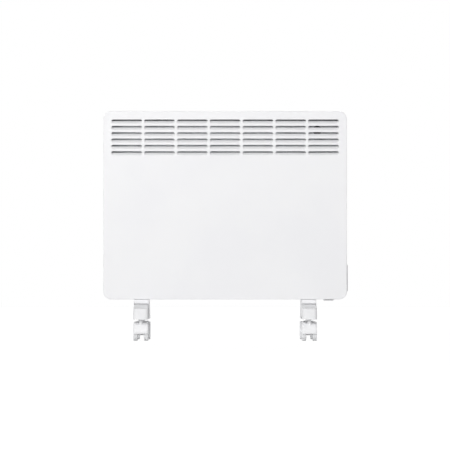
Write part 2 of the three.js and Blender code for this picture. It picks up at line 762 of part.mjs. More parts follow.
// Moulded rail: side outline cut to a rounded plan, hollowed from below between its bosses.
function footRail() {
  const half = railLength / 2;
  const [noseZ, slopeZ] = [railZ + noseHeight, railZ + railSlopeTop];
  const saddleHalf = saddleLength / 2;
  const rise = saddleHalf - bracketSheet - seatGap;
  const side = new THREE.Shape();
  side.moveTo(-half, railZ);
  side.lineTo(half, railZ);
  side.lineTo(half, noseZ - railEdge);
  side.absarc(half - railEdge, noseZ - railEdge, railEdge, 0, Math.PI / 2, false);
  for (const [y, z] of [[saddleHalf + 2, slopeZ], [rise, slopeZ], [rise, railTopZ]]) side.lineTo(y, z);
  for (const [y, z] of [[rise, railTopZ], [rise, slopeZ], [saddleHalf + 2, slopeZ]]) side.lineTo(-y, z);
  side.absarc(-half + railEdge, noseZ - railEdge, railEdge, Math.PI / 2, Math.PI, false);
  const plan = upright(roundedRectangle(railWidth, railLength, railNoseCorner), railZ - 1, casingZ, 2);
  let body = solid(sideways(side, -railWidth / 2, railWidth / 2, 1)).intersect(solid(plan));
  body = cut(body, ...railPocketTools(), railWaistTool(-1), railWaistTool(1));
  for (const y of [-castorSpan / 2, castorSpan / 2]) {
    const socketTop = bossTopZ + runGap + bushLength + seatGap;
    const socket = rod(holeRadius(bushRadius, seatGap, smallSteps), railZ - 1, socketTop);
    body = cut(body, turnedZ(socket, smallSteps).translate(0, y, 0));
  }
  for (const y of Object.values(footScrewYs)) {
    const [headHole, shankHole] = [screwHeadRadius, screwRadius].map(
      (radius) => holeRadius(radius, runGap, smallSteps),
    );
    const seat = turnedZ(rod(headHole, railZ - 1, screwSeatZ), smallSteps);
    const shank = turnedZ(rod(shankHole, railZ, casingZ), smallSteps);
    body = cut(body, seat.translate(0, y, 0), shank.translate(0, y, 0));
  }
  return meshOf(body);
}

// Pockets that core out the rail, between the castor sockets and the screw bosses.
function railPocketTools() {
  const half = railWidth / 2 - railWall;
  const socket = bushFlangeRadius + railWall;
  const stops = [
    [-castorSpan / 2 + socket, footScrewYs.front - screwBoss],
    [footScrewYs.front + screwBoss, footScrewYs.rear - screwBoss],
    [footScrewYs.rear + screwBoss, castorSpan / 2 - socket],
  ];
  return stops.flatMap(([y0, y1]) => {
    const length = (y1 - y0 - (railPockets - 1) * railWall) / railPockets;
    return Array.from({ length: railPockets }, (_, i) => {
      const start = y0 + i * (length + railWall);
      return block(-half, half, start, start + length, railZ - 1, railZ + noseHeight - railWall);
    });
  });
}

// Shallow recess for one flange of the saddle, running out towards both noses.
function railWaistTool(side) {
  const [full, waist, beyond] = [railWidth / 2, railWidth / 2 - railWaist, railWidth];
  const [near, far] = [saddleLength / 2 + seatGap, saddleLength / 2 + railTaper];
  const plan = [[waist, -near], [waist, near], [full, far], [beyond, far], [beyond, -far], [full, -far]];
  return upright(polygon(plan.map(([x, y]) => [side * x, y])), railZ - 1, casingZ);
}

// Saddle: a folded channel over the rail, with a plate closing each end above it.
function footSaddle() {
  const outer = railWidth / 2 - railWaist + seatGap + bracketSheet;
  const inner = outer - bracketSheet;
  const [top, bottom] = [casingZ - seatGap, railZ + saddleLift];
  const channel = frontal(
    polygon([
      [-outer, bottom], [-inner, bottom], [-inner, top - bracketSheet], [inner, top - bracketSheet],
      [inner, bottom], [outer, bottom], [outer, top], [-outer, top],
    ]),
    -saddleLength / 2,
    saddleLength / 2,
  );
  const side = new THREE.Shape();
  const half = saddleLength / 2;
  side.moveTo(-half, top);
  side.lineTo(-half, bottom + saddleCorner);
  side.absarc(-half + saddleCorner, bottom + saddleCorner, saddleCorner, Math.PI, Math.PI * 1.5, false);
  side.lineTo(half - saddleCorner, bottom);
  side.absarc(half - saddleCorner, bottom + saddleCorner, saddleCorner, Math.PI * 1.5, Math.PI * 2, false);
  side.lineTo(half, top);
  const plates = [[-half, -half + bracketSheet], [half - bracketSheet, half]].map(
    ([y0, y1]) => block(-outer, outer, y0, y1, top - noseplateHeight, top),
  );
  const trimmed = solid(channel).intersect(solid(sideways(side, -outer - 1, outer + 1, 2)));
  const holes = Object.values(footScrewYs).map((y) => {
    const hole = turnedZ(rod(holeRadius(screwRadius, runGap, smallSteps), top - 3, top + 1), smallSteps);
    return hole.translate(0, y, 0);
  });
  return meshOf(cut(trimmed.add(join(...plates)), ...holes));
}

// Underside of the sheet that a foot screw pulls on, front shell or nested back pan.
const floorInnerZ = { front: casingZ + sheet, rear: casingZ + panInset + sheet };

// Pan-head screw from below, up through rail, saddle and casing.
function footScrew(row) {
  const headTop = screwSeatZ - seatGap;
  const end = floorInnerZ[row] + seatGap + nutHeight + 1.5;
  return turnedZ(
    [
      [0, headTop - screwHeadHeight], [screwHeadRadius - 1, headTop - screwHeadHeight],
      [screwHeadRadius, headTop],
      [screwRadius, headTop], [screwRadius, end], [0, end],
    ],
    smallSteps,
  );
}

function footNut(row) {
  const z0 = floorInnerZ[row] + seatGap;
  const corner = nutAcross / 2 / Math.cos(Math.PI / 6);
  const hexagon = new THREE.CylinderGeometry(corner, corner, nutHeight, 6).rotateX(Math.PI / 2);
  const thread = rod(holeRadius(screwRadius, runGap, smallSteps), z0 - 1, z0 + nutHeight + 1);
  return meshOf(cut(join(hexagon.translate(0, 0, z0 + nutHeight / 2)), turnedZ(thread, smallSteps)));
}

// ------------------------------------------------------------------ castors, about the axle's middle

// Flanged sleeve pressed up into the rail.
function castorBush() {
  const inner = holeRadius(stemRadius, runGap, smallSteps);
  const z0 = stemBossRise + runGap;
  return turnedZ([
    [inner, z0], [bushFlangeRadius, z0], [bushFlangeRadius, z0 + bushFlange], [bushRadius, z0 + bushFlange],
    [bushRadius, z0 + bushLength], [inner, z0 + bushLength], [inner, z0],
  ], smallSteps).translate(0, -castorTrail, 0);
}

function castorStem() {
  const z1 = stemBossRise - stemInBoss + seatGap + stemLength;
  const z0 = z1 - stemLength;
  const r = stemRadius;
  return turnedZ([
    [0, z0], [r, z0], [r, z1 - stemGroove], [r - 0.7, z1 - stemGroove + 1], [r, z1 - stemGroove + 2],
    [r - 1.2, z1], [0, z1],
  ], smallSteps).translate(0, -castorTrail, 0);
}

// Swivel body: a hood over both wheels on a central web, with the stem's boss at its front.
function castorHood() {
  const half = hoodWidth / 2;
  const inner = hoodRadius - hoodWall;
  const lip = inner + 0.6;
  const bend = [hoodRadius - hoodWall * 0.4, half - hoodShoulder * 0.3];
  const shoulder = [[lip, half], bend, [hoodRadius, half - hoodShoulder]];
  const outline = [
    [inner, -half], ...shoulder.map(([radius, x]) => [radius, -x]), ...shoulder.reverse(),
    [inner, half], [inner, -half],
  ];
  const rearAngle = THREE.MathUtils.degToRad(hoodRearAngle);
  const frontAngle = Math.PI + Math.asin(hoodFrontDrop / hoodRadius);
  const sector = new THREE.Shape();
  const beyond = hoodRadius * 2;
  sector.moveTo(0, 0);
  sector.absarc(0, 0, beyond, rearAngle, frontAngle, false);
  const hood = solid(turnedX(outline)).intersect(solid(sideways(sector, -half - 1, half + 1, 4)));
  const halfWeb = wheelGap / 2 - webGap;
  const web = sideways(webShape(inner + 0.5), -halfWeb, halfWeb);
  const boss = turnedZ([
    [0, 4], [stemBossRadius, 4], [stemBossRadius, stemBossRise - 0.6], [stemBossRadius - 0.6, stemBossRise],
    [0, stemBossRise],
  ], smallSteps);
  const stemHole = holeRadius(stemRadius, runGap, smallSteps);
  const axleHole = holeRadius(axleRadius, seatGap, smallSteps);
  const bore = turnedZ(rod(stemHole, stemBossRise - stemInBoss, stemBossRise + 1), smallSteps);
  const axleBore = turnedX(rod(axleHole, -halfWeb - 1, halfWeb + 1), smallSteps);
  const body = hood.add(join(web, boss.translate(0, -castorTrail, 0)));
  return meshOf(cut(body, bore.translate(0, -castorTrail, 0), axleBore));
}

// Side outline of the web: a hub round the axle that fans out to the hood.
function webShape(reach) {
  const rear = THREE.MathUtils.degToRad(48);
  const shape = new THREE.Shape();
  shape.absarc(0, 0, hubRadius, Math.PI, Math.PI * 2 + rear, false);
  shape.lineTo(reach * Math.cos(rear), reach * Math.sin(rear));
  shape.absarc(0, 0, reach, rear, Math.PI, false);
  return shape;
}

// Wheel about X, its dished face outwards.
function castorWheel() {
  const inner = holeRadius(axleRadius, runGap);
  const outer = wheelRadius / Math.cos(Math.PI / roundSteps);
  const floor = wheelWidth - hubDish;
  return turnedX([
    [inner, 0], [outer, 0], [outer, wheelWidth - treadEdge], [outer - treadEdge, wheelWidth],
    [hubDishRadius, floor], [inner, floor], [inner, 0],
  ]);
}

// Riveted pin: its heads keep the wheels on.
function castorAxle() {
  const hub = wheelGap / 2 + wheelWidth - hubDish + seatGap;
  const end = hub + axleHead;
  return turnedX([
    [0, -end], [axleHeadRadius - 0.6, -end], [axleHeadRadius, -hub], [axleRadius, -hub],
    [axleRadius, hub], [axleHeadRadius, hub], [axleHeadRadius - 0.6, end], [0, end],
  ], smallSteps);
}

// ------------------------------------------------------------------ assembly

function part(name, geometry, look, [x, y, z] = [0, 0, 0]) {
  const mesh = new THREE.Mesh(geometry, finish(...look));
  mesh.name = name;
  mesh.position.set(x, y, z);
  return mesh;
}

function heaterBody() {
  const group = new THREE.Group();
  group.add(
    part('front_casing', frontCasing(), paint),
    part('back_panel', backPanel(), galvanised),
    part('heating_element', heatingElement(), aluminium),
    part('element_support_left', elementSupport(supportXs.left), galvanised),
    part('element_support_right', elementSupport(supportXs.right), galvanised),
    part('element_bush_left', elementBush(supportXs.left), ceramic),
    part('element_bush_right', elementBush(supportXs.right), ceramic),
    part('heat_shield', heatShield(), galvanised),
    part('cutout_bracket', cutoutBracket(), galvanised),
    part('overheat_cutout', overheatCutout(), blackPlastic),
    part('terminal_block', terminalBlock(), ceramic),
    part('cable_gland', cableGland(), blackPlastic),
  );
  return group;
}

function controlParts() {
  const group = new THREE.Group();
  const { y, z } = controls;
  const lean = part('switch_rocker', switchRocker(), whitePlastic, [rocker.x, rocker.y, casingZ - seatGap]);
  lean.rotation.y = THREE.MathUtils.degToRad(rockerTilt);
  group.add(
    part('control_bezel', controlBezel(), whitePlastic),
    part('thermostat_dial', thermostatDial(), whitePlastic, [wellFloorX + seatGap, y, z]),
    part('thermostat_shaft', thermostatShaft(), steel, [0, y, z]),
    part('thermostat_body', thermostatBody(), blackPlastic, [0, y, z]),
    part('switch_frame', switchFrame(), whitePlastic, [rocker.x, rocker.y, 0]),
    lean,
  );
  return group;
}

function foot(side) {
  const group = new THREE.Group();
  group.position.x = footXs[side];
  group.add(
    part('foot_saddle_' + side, footSaddle(), paint),
    part('foot_rail_' + side, footRail(), whitePlastic),
  );
  for (const [row, y] of Object.entries(footScrewYs)) {
    group.add(
      part(`foot_screw_${side}_${row}`, footScrew(row), steel, [0, y, 0]),
      part(`foot_nut_${side}_${row}`, footNut(row), steel, [0, y, 0]),
    );
  }
  for (const [row, y] of [['front', -castorSpan / 2], ['rear', castorSpan / 2]]) {
    const castor = castorUnit(`${row}_${side}`, side === 'left' ? 1 : -1);
    castor.position.set(0, y + castorTrail, axleZ);
    group.add(castor);
  }
  return group;
}

// One twin-wheel castor; inward is the direction of the heater's middle along X.
function castorUnit(place, inward) {
  const group = new THREE.Group();
  group.add(
    part('castor_bush_' + place, castorBush(), greyTyre),
    part('castor_hood_' + place, castorHood(), whitePlastic),
    part('castor_stem_' + place, castorStem(), steel),
    part('castor_axle_' + place, castorAxle(), steel),
  );
  for (const [name, way] of [['inner', inward], ['outer', -inward]]) {
    const seat = [(way * wheelGap) / 2, 0, 0];
    const wheel = part(`castor_wheel_${place}_${name}`, castorWheel(), greyTyre, seat);
    wheel.rotation.z = way > 0 ? 0 : Math.PI;
    group.add(wheel);
  }
  return group;
}

const heater = new THREE.Group();
heater.add(heaterBody(), controlParts(), foot('left'), foot('right'));
heater.updateMatrixWorld(true);
const reach = new THREE.Box3().setFromObject(heater);
const middle = reach.getCenter(new THREE.Vector3());
heater.position.set(-middle.x, -middle.y, -reach.min.z);

export default heater;
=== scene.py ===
import math
import bmesh
import bpy
from mathutils import Matrix, Vector


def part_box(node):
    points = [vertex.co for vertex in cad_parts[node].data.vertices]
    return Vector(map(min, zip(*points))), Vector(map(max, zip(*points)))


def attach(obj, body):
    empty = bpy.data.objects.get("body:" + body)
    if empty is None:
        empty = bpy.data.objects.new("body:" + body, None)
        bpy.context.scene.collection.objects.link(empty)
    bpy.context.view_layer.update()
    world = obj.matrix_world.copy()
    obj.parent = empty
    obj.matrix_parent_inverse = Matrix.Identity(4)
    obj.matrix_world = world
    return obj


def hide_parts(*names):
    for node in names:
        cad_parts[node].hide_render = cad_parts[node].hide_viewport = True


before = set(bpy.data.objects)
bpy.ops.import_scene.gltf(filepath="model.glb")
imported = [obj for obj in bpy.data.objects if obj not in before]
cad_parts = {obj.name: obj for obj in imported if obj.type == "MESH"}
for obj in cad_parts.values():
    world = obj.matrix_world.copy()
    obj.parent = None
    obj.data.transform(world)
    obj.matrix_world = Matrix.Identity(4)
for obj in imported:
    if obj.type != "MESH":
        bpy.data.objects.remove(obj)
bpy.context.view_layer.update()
scene = bpy.context.scene
print("frame loaded")

mm = 0.001
shellLow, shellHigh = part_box("front_casing")
casing = {
    "width": 582, "height": 450, "corner": 19, "cornerSteps": 12, "depth": 80, "shellDepth": 64, "sheet": 1,
    "bend": 1.3,
    "lip": 10,  # back pan nested inside the front shell
}
hem = shellLow.z / mm  # height of the casing's underside above the floor
front, back = -casing["depth"] / 2, casing["depth"] / 2
wall = casing["width"] / 2
underside = hem - 2, hem + 3  # reach of a cut through the bottom sheet
seat = 0.3  # gap between faces that rest on each other
weld, sliver = 0.005, 0.002  # points nearer than this are merged, and edges shorter than this dissolved
# every length below is in millimetres about the middle of the casing, and this is where that lies
home = Vector(((shellLow.x + shellHigh.x) / 2, shellLow.y - front * mm, 0))


def along(axis, u, v, w):
    return {"x": (w, u, v), "y": (u, w, v), "z": (u, v, w)}[axis]


def added(name, data):
    piece = bpy.data.objects.new(name, data)
    scene.collection.objects.link(piece)
    return piece


def dropped(piece):
    old = piece.data
    bpy.data.objects.remove(piece)
    bpy.data.meshes.remove(old)


def pieceOf(name, points, faces, place=(0, 0, 0)):
    mesh = bpy.data.meshes.new(name)
    mesh.from_pydata([(Vector(point) + Vector(place)) * mm + home for point in points], [], faces)
    return added(name, mesh)


def between(first, last, steps):
    return [first + (last - first) * i / steps for i in range(steps + 1)]


def quarter(steps):
    return between(0, math.pi / 2, steps)


# points of an arc about a middle, from one angle to another
def sweep(radius, first, last, steps, middle=(0, 0)):
    u, v = middle
    return [(u + radius * math.cos(t), v + radius * math.sin(t)) for t in between(first, last, steps)]


# merges what meets and turns the faces outwards
def cleaned(piece):
    work = bmesh.new()
    work.from_mesh(piece.data)
    bmesh.ops.remove_doubles(work, verts=work.verts, dist=weld * mm)
    bmesh.ops.dissolve_degenerate(work, edges=work.edges, dist=sliver * mm)
    bmesh.ops.recalc_face_normals(work, faces=work.faces)
    work.to_mesh(piece.data)
    work.free()
    return piece


# equal rings one behind the other, skinned; unless it closes on itself, the ends named get one face each
def skinned(name, rings, loop=False, place=(0, 0, 0), ends=(1, 0)):
    count = len(rings[0])
    points = [point for ring in rings for point in ring]
    faces = []
    for i in range(len(rings) if loop else len(rings) - 1):
        a, b = i * count, (i + 1) % len(rings) * count
        for j in range(count):
            k = (j + 1) % count
            faces.append((a + j, a + k, b + k, b + j))
    for end in () if loop else ends:
        first = end * (len(points) - count)
        faces.append(tuple(range(first, first + count)))
    return cleaned(pieceOf(name, points, faces, place))


# replaces a piece's mesh by what its modifiers make of it
def settle(piece):
    graph = bpy.context.evaluated_depsgraph_get()
    made = bpy.data.meshes.new_from_object(piece.evaluated_get(graph))
    piece.modifiers.clear()
    old, piece.data = piece.data, made
    made.name = piece.name
    bpy.data.meshes.remove(old)
    return piece


def modified(piece, kind, **settings):
    change = piece.modifiers.new(kind.lower(), kind)
    for key, value in settings.items():
        setattr(change, key, value)
    return settle(piece)


def combined(piece, *tools, how="DIFFERENCE"):
    for tool in tools:
        modified(piece, "BOOLEAN", object=tool, operation=how, solver="MANIFOLD")
        dropped(tool)
    return piece


def merged(name, *pieces):
    work = bmesh.new()
    for piece in pieces:
        work.from_mesh(piece.data)
        dropped(piece)
    mesh = bpy.data.meshes.new(name)
    work.to_mesh(mesh)
    work.free()
    return added(name, mesh)


# soft bends stay smooth, edges sharper than the angle stay crisp, and flat faces stay flat
def shaded(piece, angle=35, weighted=True):
    work = bmesh.new()
    work.from_mesh(piece.data)
    for face in work.faces:
        face.smooth = True
    for edge in work.edges:
        edge.smooth = len(edge.link_faces) == 2 and edge.calc_face_angle(0) < math.radians(angle)
    work.to_mesh(piece.data)
    work.free()
    if weighted:
        modified(piece, "WEIGHTED_NORMAL", keep_sharp=True, weight=80)
    return piece


# rounds the corners of an outline; a corner is (u, v) or (u, v, radius)
def rounded(corners, steps=5):
    path = []
    for i, corner in enumerate(corners):
        here = Vector(corner[:2])
        if len(corner) == 2:
            path.append(tuple(here))
            continue
        before = (Vector(corners[i - 1][:2]) - here).normalized()
        after = (Vector(corners[(i + 1) % len(corners)][:2]) - here).normalized()
        half = before.angle(after) / 2
        middle = here + (before + after).normalized() * (corner[2] / math.sin(half))
        reach = corner[2] / math.tan(half)
        first, last = here + before * reach - middle, here + after * reach - middle
        start = math.atan2(first.y, first.x)
        turn = (math.atan2(last.y, last.x) - start + math.pi) % math.tau - math.pi
        path += sweep(corner[2], start, start + turn, steps, middle)
    return path


def rectangle(width, height, radius, steps=5, middle=(0, 0)):
    u, v = width / 2, height / 2
    corners = [(u, v, radius), (-u, v, radius), (-u, -v, radius), (u, -v, radius)]
    return [(a + middle[0], b + middle[1]) for a, b in rounded(corners, steps)]


# a smooth outline drawn in by a distance; outlines run anticlockwise
def inset(loop, distance):
    drawn = []
    for i, point in enumerate(loop):
        before, after = Vector(loop[i - 1]), Vector(loop[(i + 1) % len(loop)])
        way = (after - before).normalized()
        drawn.append((point[0] - way.y * distance, point[1] + way.x * distance))
    return drawn


# an outline carried along an axis, its edges rounded at the low and the high end
def prism(name, loop, axis, low, high, edges=(0, 0), place=(0, 0, 0), steps=4):
    stations = []
    for end, way, radius in ((low, 1, edges[0]), (high, -1, edges[1])):
        turns = quarter(steps) if radius else [0]
        bow = [(end + way * radius * (1 - math.sin(t)), radius * (1 - math.cos(t))) for t in turns]
        stations += bow[::-way]
    rings = []
    for w, drawn in stations:
        outline = inset(loop, drawn) if drawn else loop
        rings.append([along(axis, u, v, w) for u, v in outline])
    return skinned(name, rings, place=place)


# a profile of (radius, height) turned about an axis
def turned(name, profile, axis, place=(0, 0, 0), steps=64):
    rings = []
    for i in range(steps):
        angle = math.tau * i / steps
        rings.append([along(axis, r * math.cos(angle), r * math.sin(angle), w) for r, w in profile])
    return skinned(name, rings, loop=True, place=place)


def rod(name, radius, axis, low, high, place=(0, 0, 0), steps=32):
    return turned(name, [(0, low), (radius, low), (radius, high), (0, high)], axis, place, steps)


def block(name, low, high, place=(0, 0, 0)):
    middle = [(a + b) / 2 for a, b in zip(low, high)]
    loop = rectangle(high[0] - low[0], high[1] - low[1], 0.01, 1, middle[:2])
    return prism(name, loop, "z", low[2], high[2], place=place)


def shifted(piece, place=(0, 0, 0), turn=None):
    if turn:
        piece.data.transform(Matrix.Translation(home) @ turn @ Matrix.Translation(-home))
    piece.data.transform(Matrix.Translation(Vector(place) * mm))
    return piece


# a socket that can be written into sums
class Wire:
    def __init__(self, recipe, plug):
        self.recipe = recipe
        self.plug = plug

    def maths(self, operation, first, second):
        return self.recipe.add("Math", {"operation": operation}, {0: first, 1: second})

    def __add__(self, other):
        return self.maths("ADD", self, other)

    def __sub__(self, other):
        return self.maths("SUBTRACT", self, other)

    def __mul__(self, other):
        return self.maths("MULTIPLY", self, other)

    __radd__ = __add__


class Recipe:
    def __init__(self, tree):
        self.tree = tree

    # adds a node, a shader node unless named in full: its settings, then what its sockets hold or link to
    def add(self, kind, settings=None, sockets=None, out=0):
        node = self.tree.nodes.new(kind if "Node" in kind else "ShaderNode" + kind)
        for key, value in (settings or {}).items():
            setattr(node, key, value)
        for key, value in (sockets or {}).items():
            if isinstance(value, Wire):
                self.tree.links.new(value.plug, node.inputs[key])
            else:
                node.inputs[key].default_value = value
        return Wire(self, node.outputs[out]) if node.outputs else node


class Finish(Recipe):
    def __init__(self, name):
        self.material = bpy.data.materials.new(name)
        self.material.use_nodes = True
        super().__init__(self.material.node_tree)
        self.tree.nodes.clear()
        self.where = self.add("TexCoord", out="Object")

    def noise(self, size, detail=3, rough=0.5, stretch=(1, 1, 1)):
        place = self.add("Mapping", sockets={"Vector": self.where, "Scale": stretch})
        sockets = {"Vector": place, "Scale": 1 / (size * mm), "Detail": detail, "Roughness": rough}
        return self.add("TexNoise", sockets=sockets)

    # a value of 0 to 1 that rises between two levels of another
    def step(self, value, low, high):
        sockets = {0: value, 1: low, 2: high, 3: 0.0, 4: 1.0}
        return self.add("MapRange", {"interpolation_type": "SMOOTHSTEP"}, sockets)

    def blend(self, amount, first, second):
        settings = {"data_type": "RGBA", "blend_type": "MIX"}
        return self.add("Mix", settings, {0: amount, 6: first, 7: second}, out=2)

    def bump(self, height, depth, strength=1.0):
        sockets = {"Strength": strength, "Distance": depth * mm, "Height": height}
        return self.add("Bump", sockets=sockets)

    def surface(self, sockets):
        shader = self.add("BsdfPrincipled", sockets=sockets)
        self.add("OutputMaterial", sockets={"Surface": shader})
        return self.material


def colour(red, green, blue):
    return tuple(channel / 12.92 if channel <= 0.04045 else ((channel + 0.055) / 1.055) ** 2.4
                 for channel in (red, green, blue)) + (1.0,)


# a geometry tree with named inputs; each input is (name, socket type)
class Pattern(Recipe):
    def __init__(self, name, inputs):
        super().__init__(bpy.data.node_groups.new(name, "GeometryNodeTree"))
        face = self.tree.interface
        face.new_socket("Geometry", in_out="OUTPUT", socket_type="NodeSocketGeometry")
        self.identifiers = {}
        for title, kind in inputs:
            socket = face.new_socket(title, in_out="INPUT", socket_type=kind)
            self.identifiers[title] = socket.identifier
        self.entry = self.tree.nodes.new("NodeGroupInput")

    def given(self, title):
        return Wire(self, self.entry.outputs[title])

    def close(self, points, rotation=None):
        copies = {"Points": points, "Instance": self.shape()}
        if rotation:
            copies["Rotation"] = rotation
        spread = self.add("GeometryNodeInstanceOnPoints", sockets=copies)
        real = self.add("GeometryNodeRealizeInstances", sockets={"Geometry": spread})
        sockets = {"Geometry": real, "Material": self.given("Material")}
        painted = self.add("GeometryNodeSetMaterial", sockets=sockets)
        self.tree.nodes.new("NodeGroupOutput")
        self.tree.links.new(painted.plug, self.tree.nodes[-1].inputs[0])
        return self

    def shape(self):
        sockets = {"Object": self.given("Piece")}
        return self.add("GeometryNodeObjectInfo", {"transform_space": "ORIGINAL"}, sockets, out="Geometry")

    # runs the tree on an empty mesh and keeps the plain result
    def run(self, name, **values):
        piece = pieceOf(name, [], [])
        change = piece.modifiers.new(name, "NODES")
        change.node_group = self.tree
        for title, value in values.items():
            change[self.identifiers[title]] = value
        return settle(piece)


# copies of a piece in rows and columns, across X and up Z, its first at the piece's own place
def rowsPattern():
    pattern = Pattern("rows", [
        ("Piece", "NodeSocketObject"), ("Columns", "NodeSocketInt"), ("Rows", "NodeSocketInt"),
        ("ColumnStep", "NodeSocketVector"), ("RowStep", "NodeSocketVector"),
        ("Material", "NodeSocketMaterial"),
    ])
    index = pattern.add("GeometryNodeInputIndex")
    columns = pattern.given("Columns")
    row = pattern.add("Math", {"operation": "FLOOR"}, {0: index.maths("DIVIDE", index, columns)})
    column = index - row * columns
    count = columns * pattern.given("Rows")
    offsets = [
        pattern.add("VectorMath", {"operation": "SCALE"}, {0: pattern.given(step), "Scale": number})
        for step, number in (("ColumnStep", column), ("RowStep", row))
    ]
    place = pattern.add("VectorMath", {"operation": "ADD"}, {0: offsets[0], 1: offsets[1]})
    points = pattern.add("GeometryNodePoints", sockets={"Count": count, "Position": place})
    return pattern.close(points)


# copies of a piece on an arc about X, each turned with it
def arcPattern():
    pattern = Pattern("arc", [
        ("Piece", "NodeSocketObject"), ("Count", "NodeSocketInt"), ("Start", "NodeSocketFloat"),
        ("Step", "NodeSocketFloat"), ("Centre", "NodeSocketVector"), ("Material", "NodeSocketMaterial"),
    ])
    angle = pattern.given("Start") + pattern.add("GeometryNodeInputIndex") * pattern.given("Step")
    turn = pattern.add("CombineXYZ", sockets={"X": angle})
    points = pattern.add("GeometryNodePoints", sockets={"Count": pattern.given("Count"),
                                                        "Position": pattern.given("Centre")})
    return pattern.close(points, turn)


rows, arc = rowsPattern(), arcPattern()


# copies of a piece by one of these trees, about a place of their own; the piece itself goes
def spread(tree, piece, place, material, **values):
    piece.data.transform(Matrix.Translation(-home))
    copies = tree.run(piece.name, Piece=piece, Material=material, **values)
    dropped(piece)
    return shifted(copies, home / mm + Vector(place))


print("node trees built")


# Each noise is (size in mm, detail, roughness, stretch). The mottle mixes two tints, the haze varies the
# roughness and the grain makes the relief; where haze or grain is left out, the mottle does its work.
surfaces = {
    "casing_paint": {
        "name": "white powder coat",
        "mottle": (160, 2), "levels": (0.35, 0.65), "tints": ((0.955, 0.955, 0.963), (0.963, 0.963, 0.968)),
        "haze": (45,), "rough": (0.36, 0.1), "grain": (1.6, 4, 0.55), "relief": (0.05, 0.35),
        "more": {"Coat Weight": 0.12, "Coat Roughness": 0.25},
    },
    "white_plastic": {
        "name": "satin white plastic",
        "mottle": (30, 2), "levels": (0.3, 0.7), "tints": ((0.955, 0.956, 0.962), (0.965, 0.965, 0.97)),
        "haze": (12,), "rough": (0.4, 0.14), "grain": (0.7, 2, 0.6), "relief": (0.03, 0.3),
        "more": {"Specular IOR Level": 0.45},
    },
    "wheel_plastic": {
        "name": "pale grey wheel plastic",
        "mottle": (3.5, 6, 0.7, (0.35, 1, 1)), "levels": (0.54, 0.72),
        "tints": ((0.955, 0.957, 0.962), (0.89, 0.89, 0.9)), "rough": (0.46, 0.25), "relief": (0.04, 0.4),
    },
    "cast_aluminium": {
        "name": "cast aluminium",
        "mottle": (1.2, 5, 0.65), "tints": ((0.70, 0.71, 0.72), (0.80, 0.805, 0.81)),
        "rough": (0.42, 0.2), "relief": (0.12, 0.6), "more": {"Metallic": 0.9},
    },
    "plated_steel": {
        "name": "zinc plated steel",
        "mottle": (4, 4, 0.6), "tints": ((0.74, 0.75, 0.76), (0.84, 0.845, 0.85)),
        "rough": (0.22, 0.2), "relief": (0.01,), "more": {"Metallic": 1.0},
    },
    "ceramic": {
        "name": "unglazed ceramic",
        "mottle": (0.9, 2), "levels": (0.66, 0.74), "tints": ((0.92, 0.90, 0.85), (0.74, 0.70, 0.62)),
        "haze": (0.5, 3, 0.7), "rough": (0.78, 0.1), "grain": (0.5, 3, 0.7), "relief": (0.06, 0.5),
    },
    "black_plastic": {
        "name": "black moulded plastic",
        "mottle": (6, 5, 0.6, (1, 1, 3)), "tints": ((0.10, 0.10, 0.105), (0.16, 0.16, 0.165)),
        "rough": (0.46, 0.18), "grain": (0.8,), "relief": (0.03, 0.5),
    },
    "ink": {
        "name": "grey printed ink",
        "mottle": (0.6, 3), "levels": (0.6, 0.8), "tints": ((0.36, 0.37, 0.39), (0.46, 0.47, 0.49)),
        "rough": (0.55, 0.1),
    },
}


def mixed(values):
    finish = Finish(values["name"])
    mottle = finish.noise(*values["mottle"])
    if "levels" in values:
        mottle = finish.step(mottle, *values["levels"])
    haze = finish.noise(*values["haze"]) if "haze" in values else mottle
    least, swing = values["rough"]
    sockets = {"Base Color": finish.blend(mottle, *(colour(*tint) for tint in values["tints"])),
               "Roughness": least + haze * swing, **values.get("more", {})}
    if "relief" in values:
        grain = finish.noise(*values["grain"]) if "grain" in values else mottle
        sockets["Normal"] = finish.bump(grain, *values["relief"])
    return finish.surface(sockets)


zincLook = {
    "spangle": 4.5, "stain": (60, 5, 0.6), "levels": (0.45, 0.75), "shares": (0.4, 0.14, 0.12),
    "dark": (0.77, 0.78, 0.79), "bright": (0.82, 0.83, 0.84), "stained": (0.74, 0.75, 0.76),
    "metallic": 0.85, "rough": 0.36, "relief": (0.01, 0.3),
}


# zinc crystals, each its own shade, with faint stains over them
def galvanisedSteel():
    zinc = Finish("galvanised steel")
    cells = zinc.add("TexVoronoi", {"feature": "F1"},
                     {"Vector": zinc.where, "Scale": 1 / (zincLook["spangle"] * mm)}, out="Color")
    spangle = zinc.add("SeparateColor", sockets={"Color": cells})
    stain = zinc.step(zinc.noise(*zincLook["stain"]), *zincLook["levels"])
    tinted, glint, dulled = zincLook["shares"]
    sheen = zinc.blend(spangle, colour(*zincLook["dark"]), colour(*zincLook["bright"]))
    return zinc.surface({
        "Base Color": zinc.blend(stain * tinted, sheen, colour(*zincLook["stained"])),
        "Metallic": zincLook["metallic"],
        "Roughness": zincLook["rough"] + spangle * glint + stain * dulled,
        "Normal": zinc.bump(spangle, *zincLook["relief"]),
    })


finishes = {slot: mixed(values) for slot, values in surfaces.items()}
finishes["galvanised_steel"] = galvanisedSteel()
ink = finishes.pop("ink")
print("finishes mixed")


# names a finished piece, gives it its slot's finish unless another material is given, hangs it on its body
# and hides the CAD nodes that it stands for
def fitted(name, piece, body, slot, *nodes, material=None):
    piece.name = piece.data.name = name
    piece.data.materials.clear()
    piece.data.materials.append(material or finishes[slot])
    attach(piece, body)
    if nodes:
        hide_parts(*nodes)
    return piece


louvre = {
    "columns": 7, "rows": 6, "width": 73.6, "height": 10.7, "corner": 4.4, "step": (78.4, 15.15),
    "top": 20,  # below the casing's top
    "rise": 7.1,  # blade height; above it is the open slit
    "depth": 6.5,  # how far its free edge is pressed in
    "cheek": 5,  # length over which its ends curl shut
}


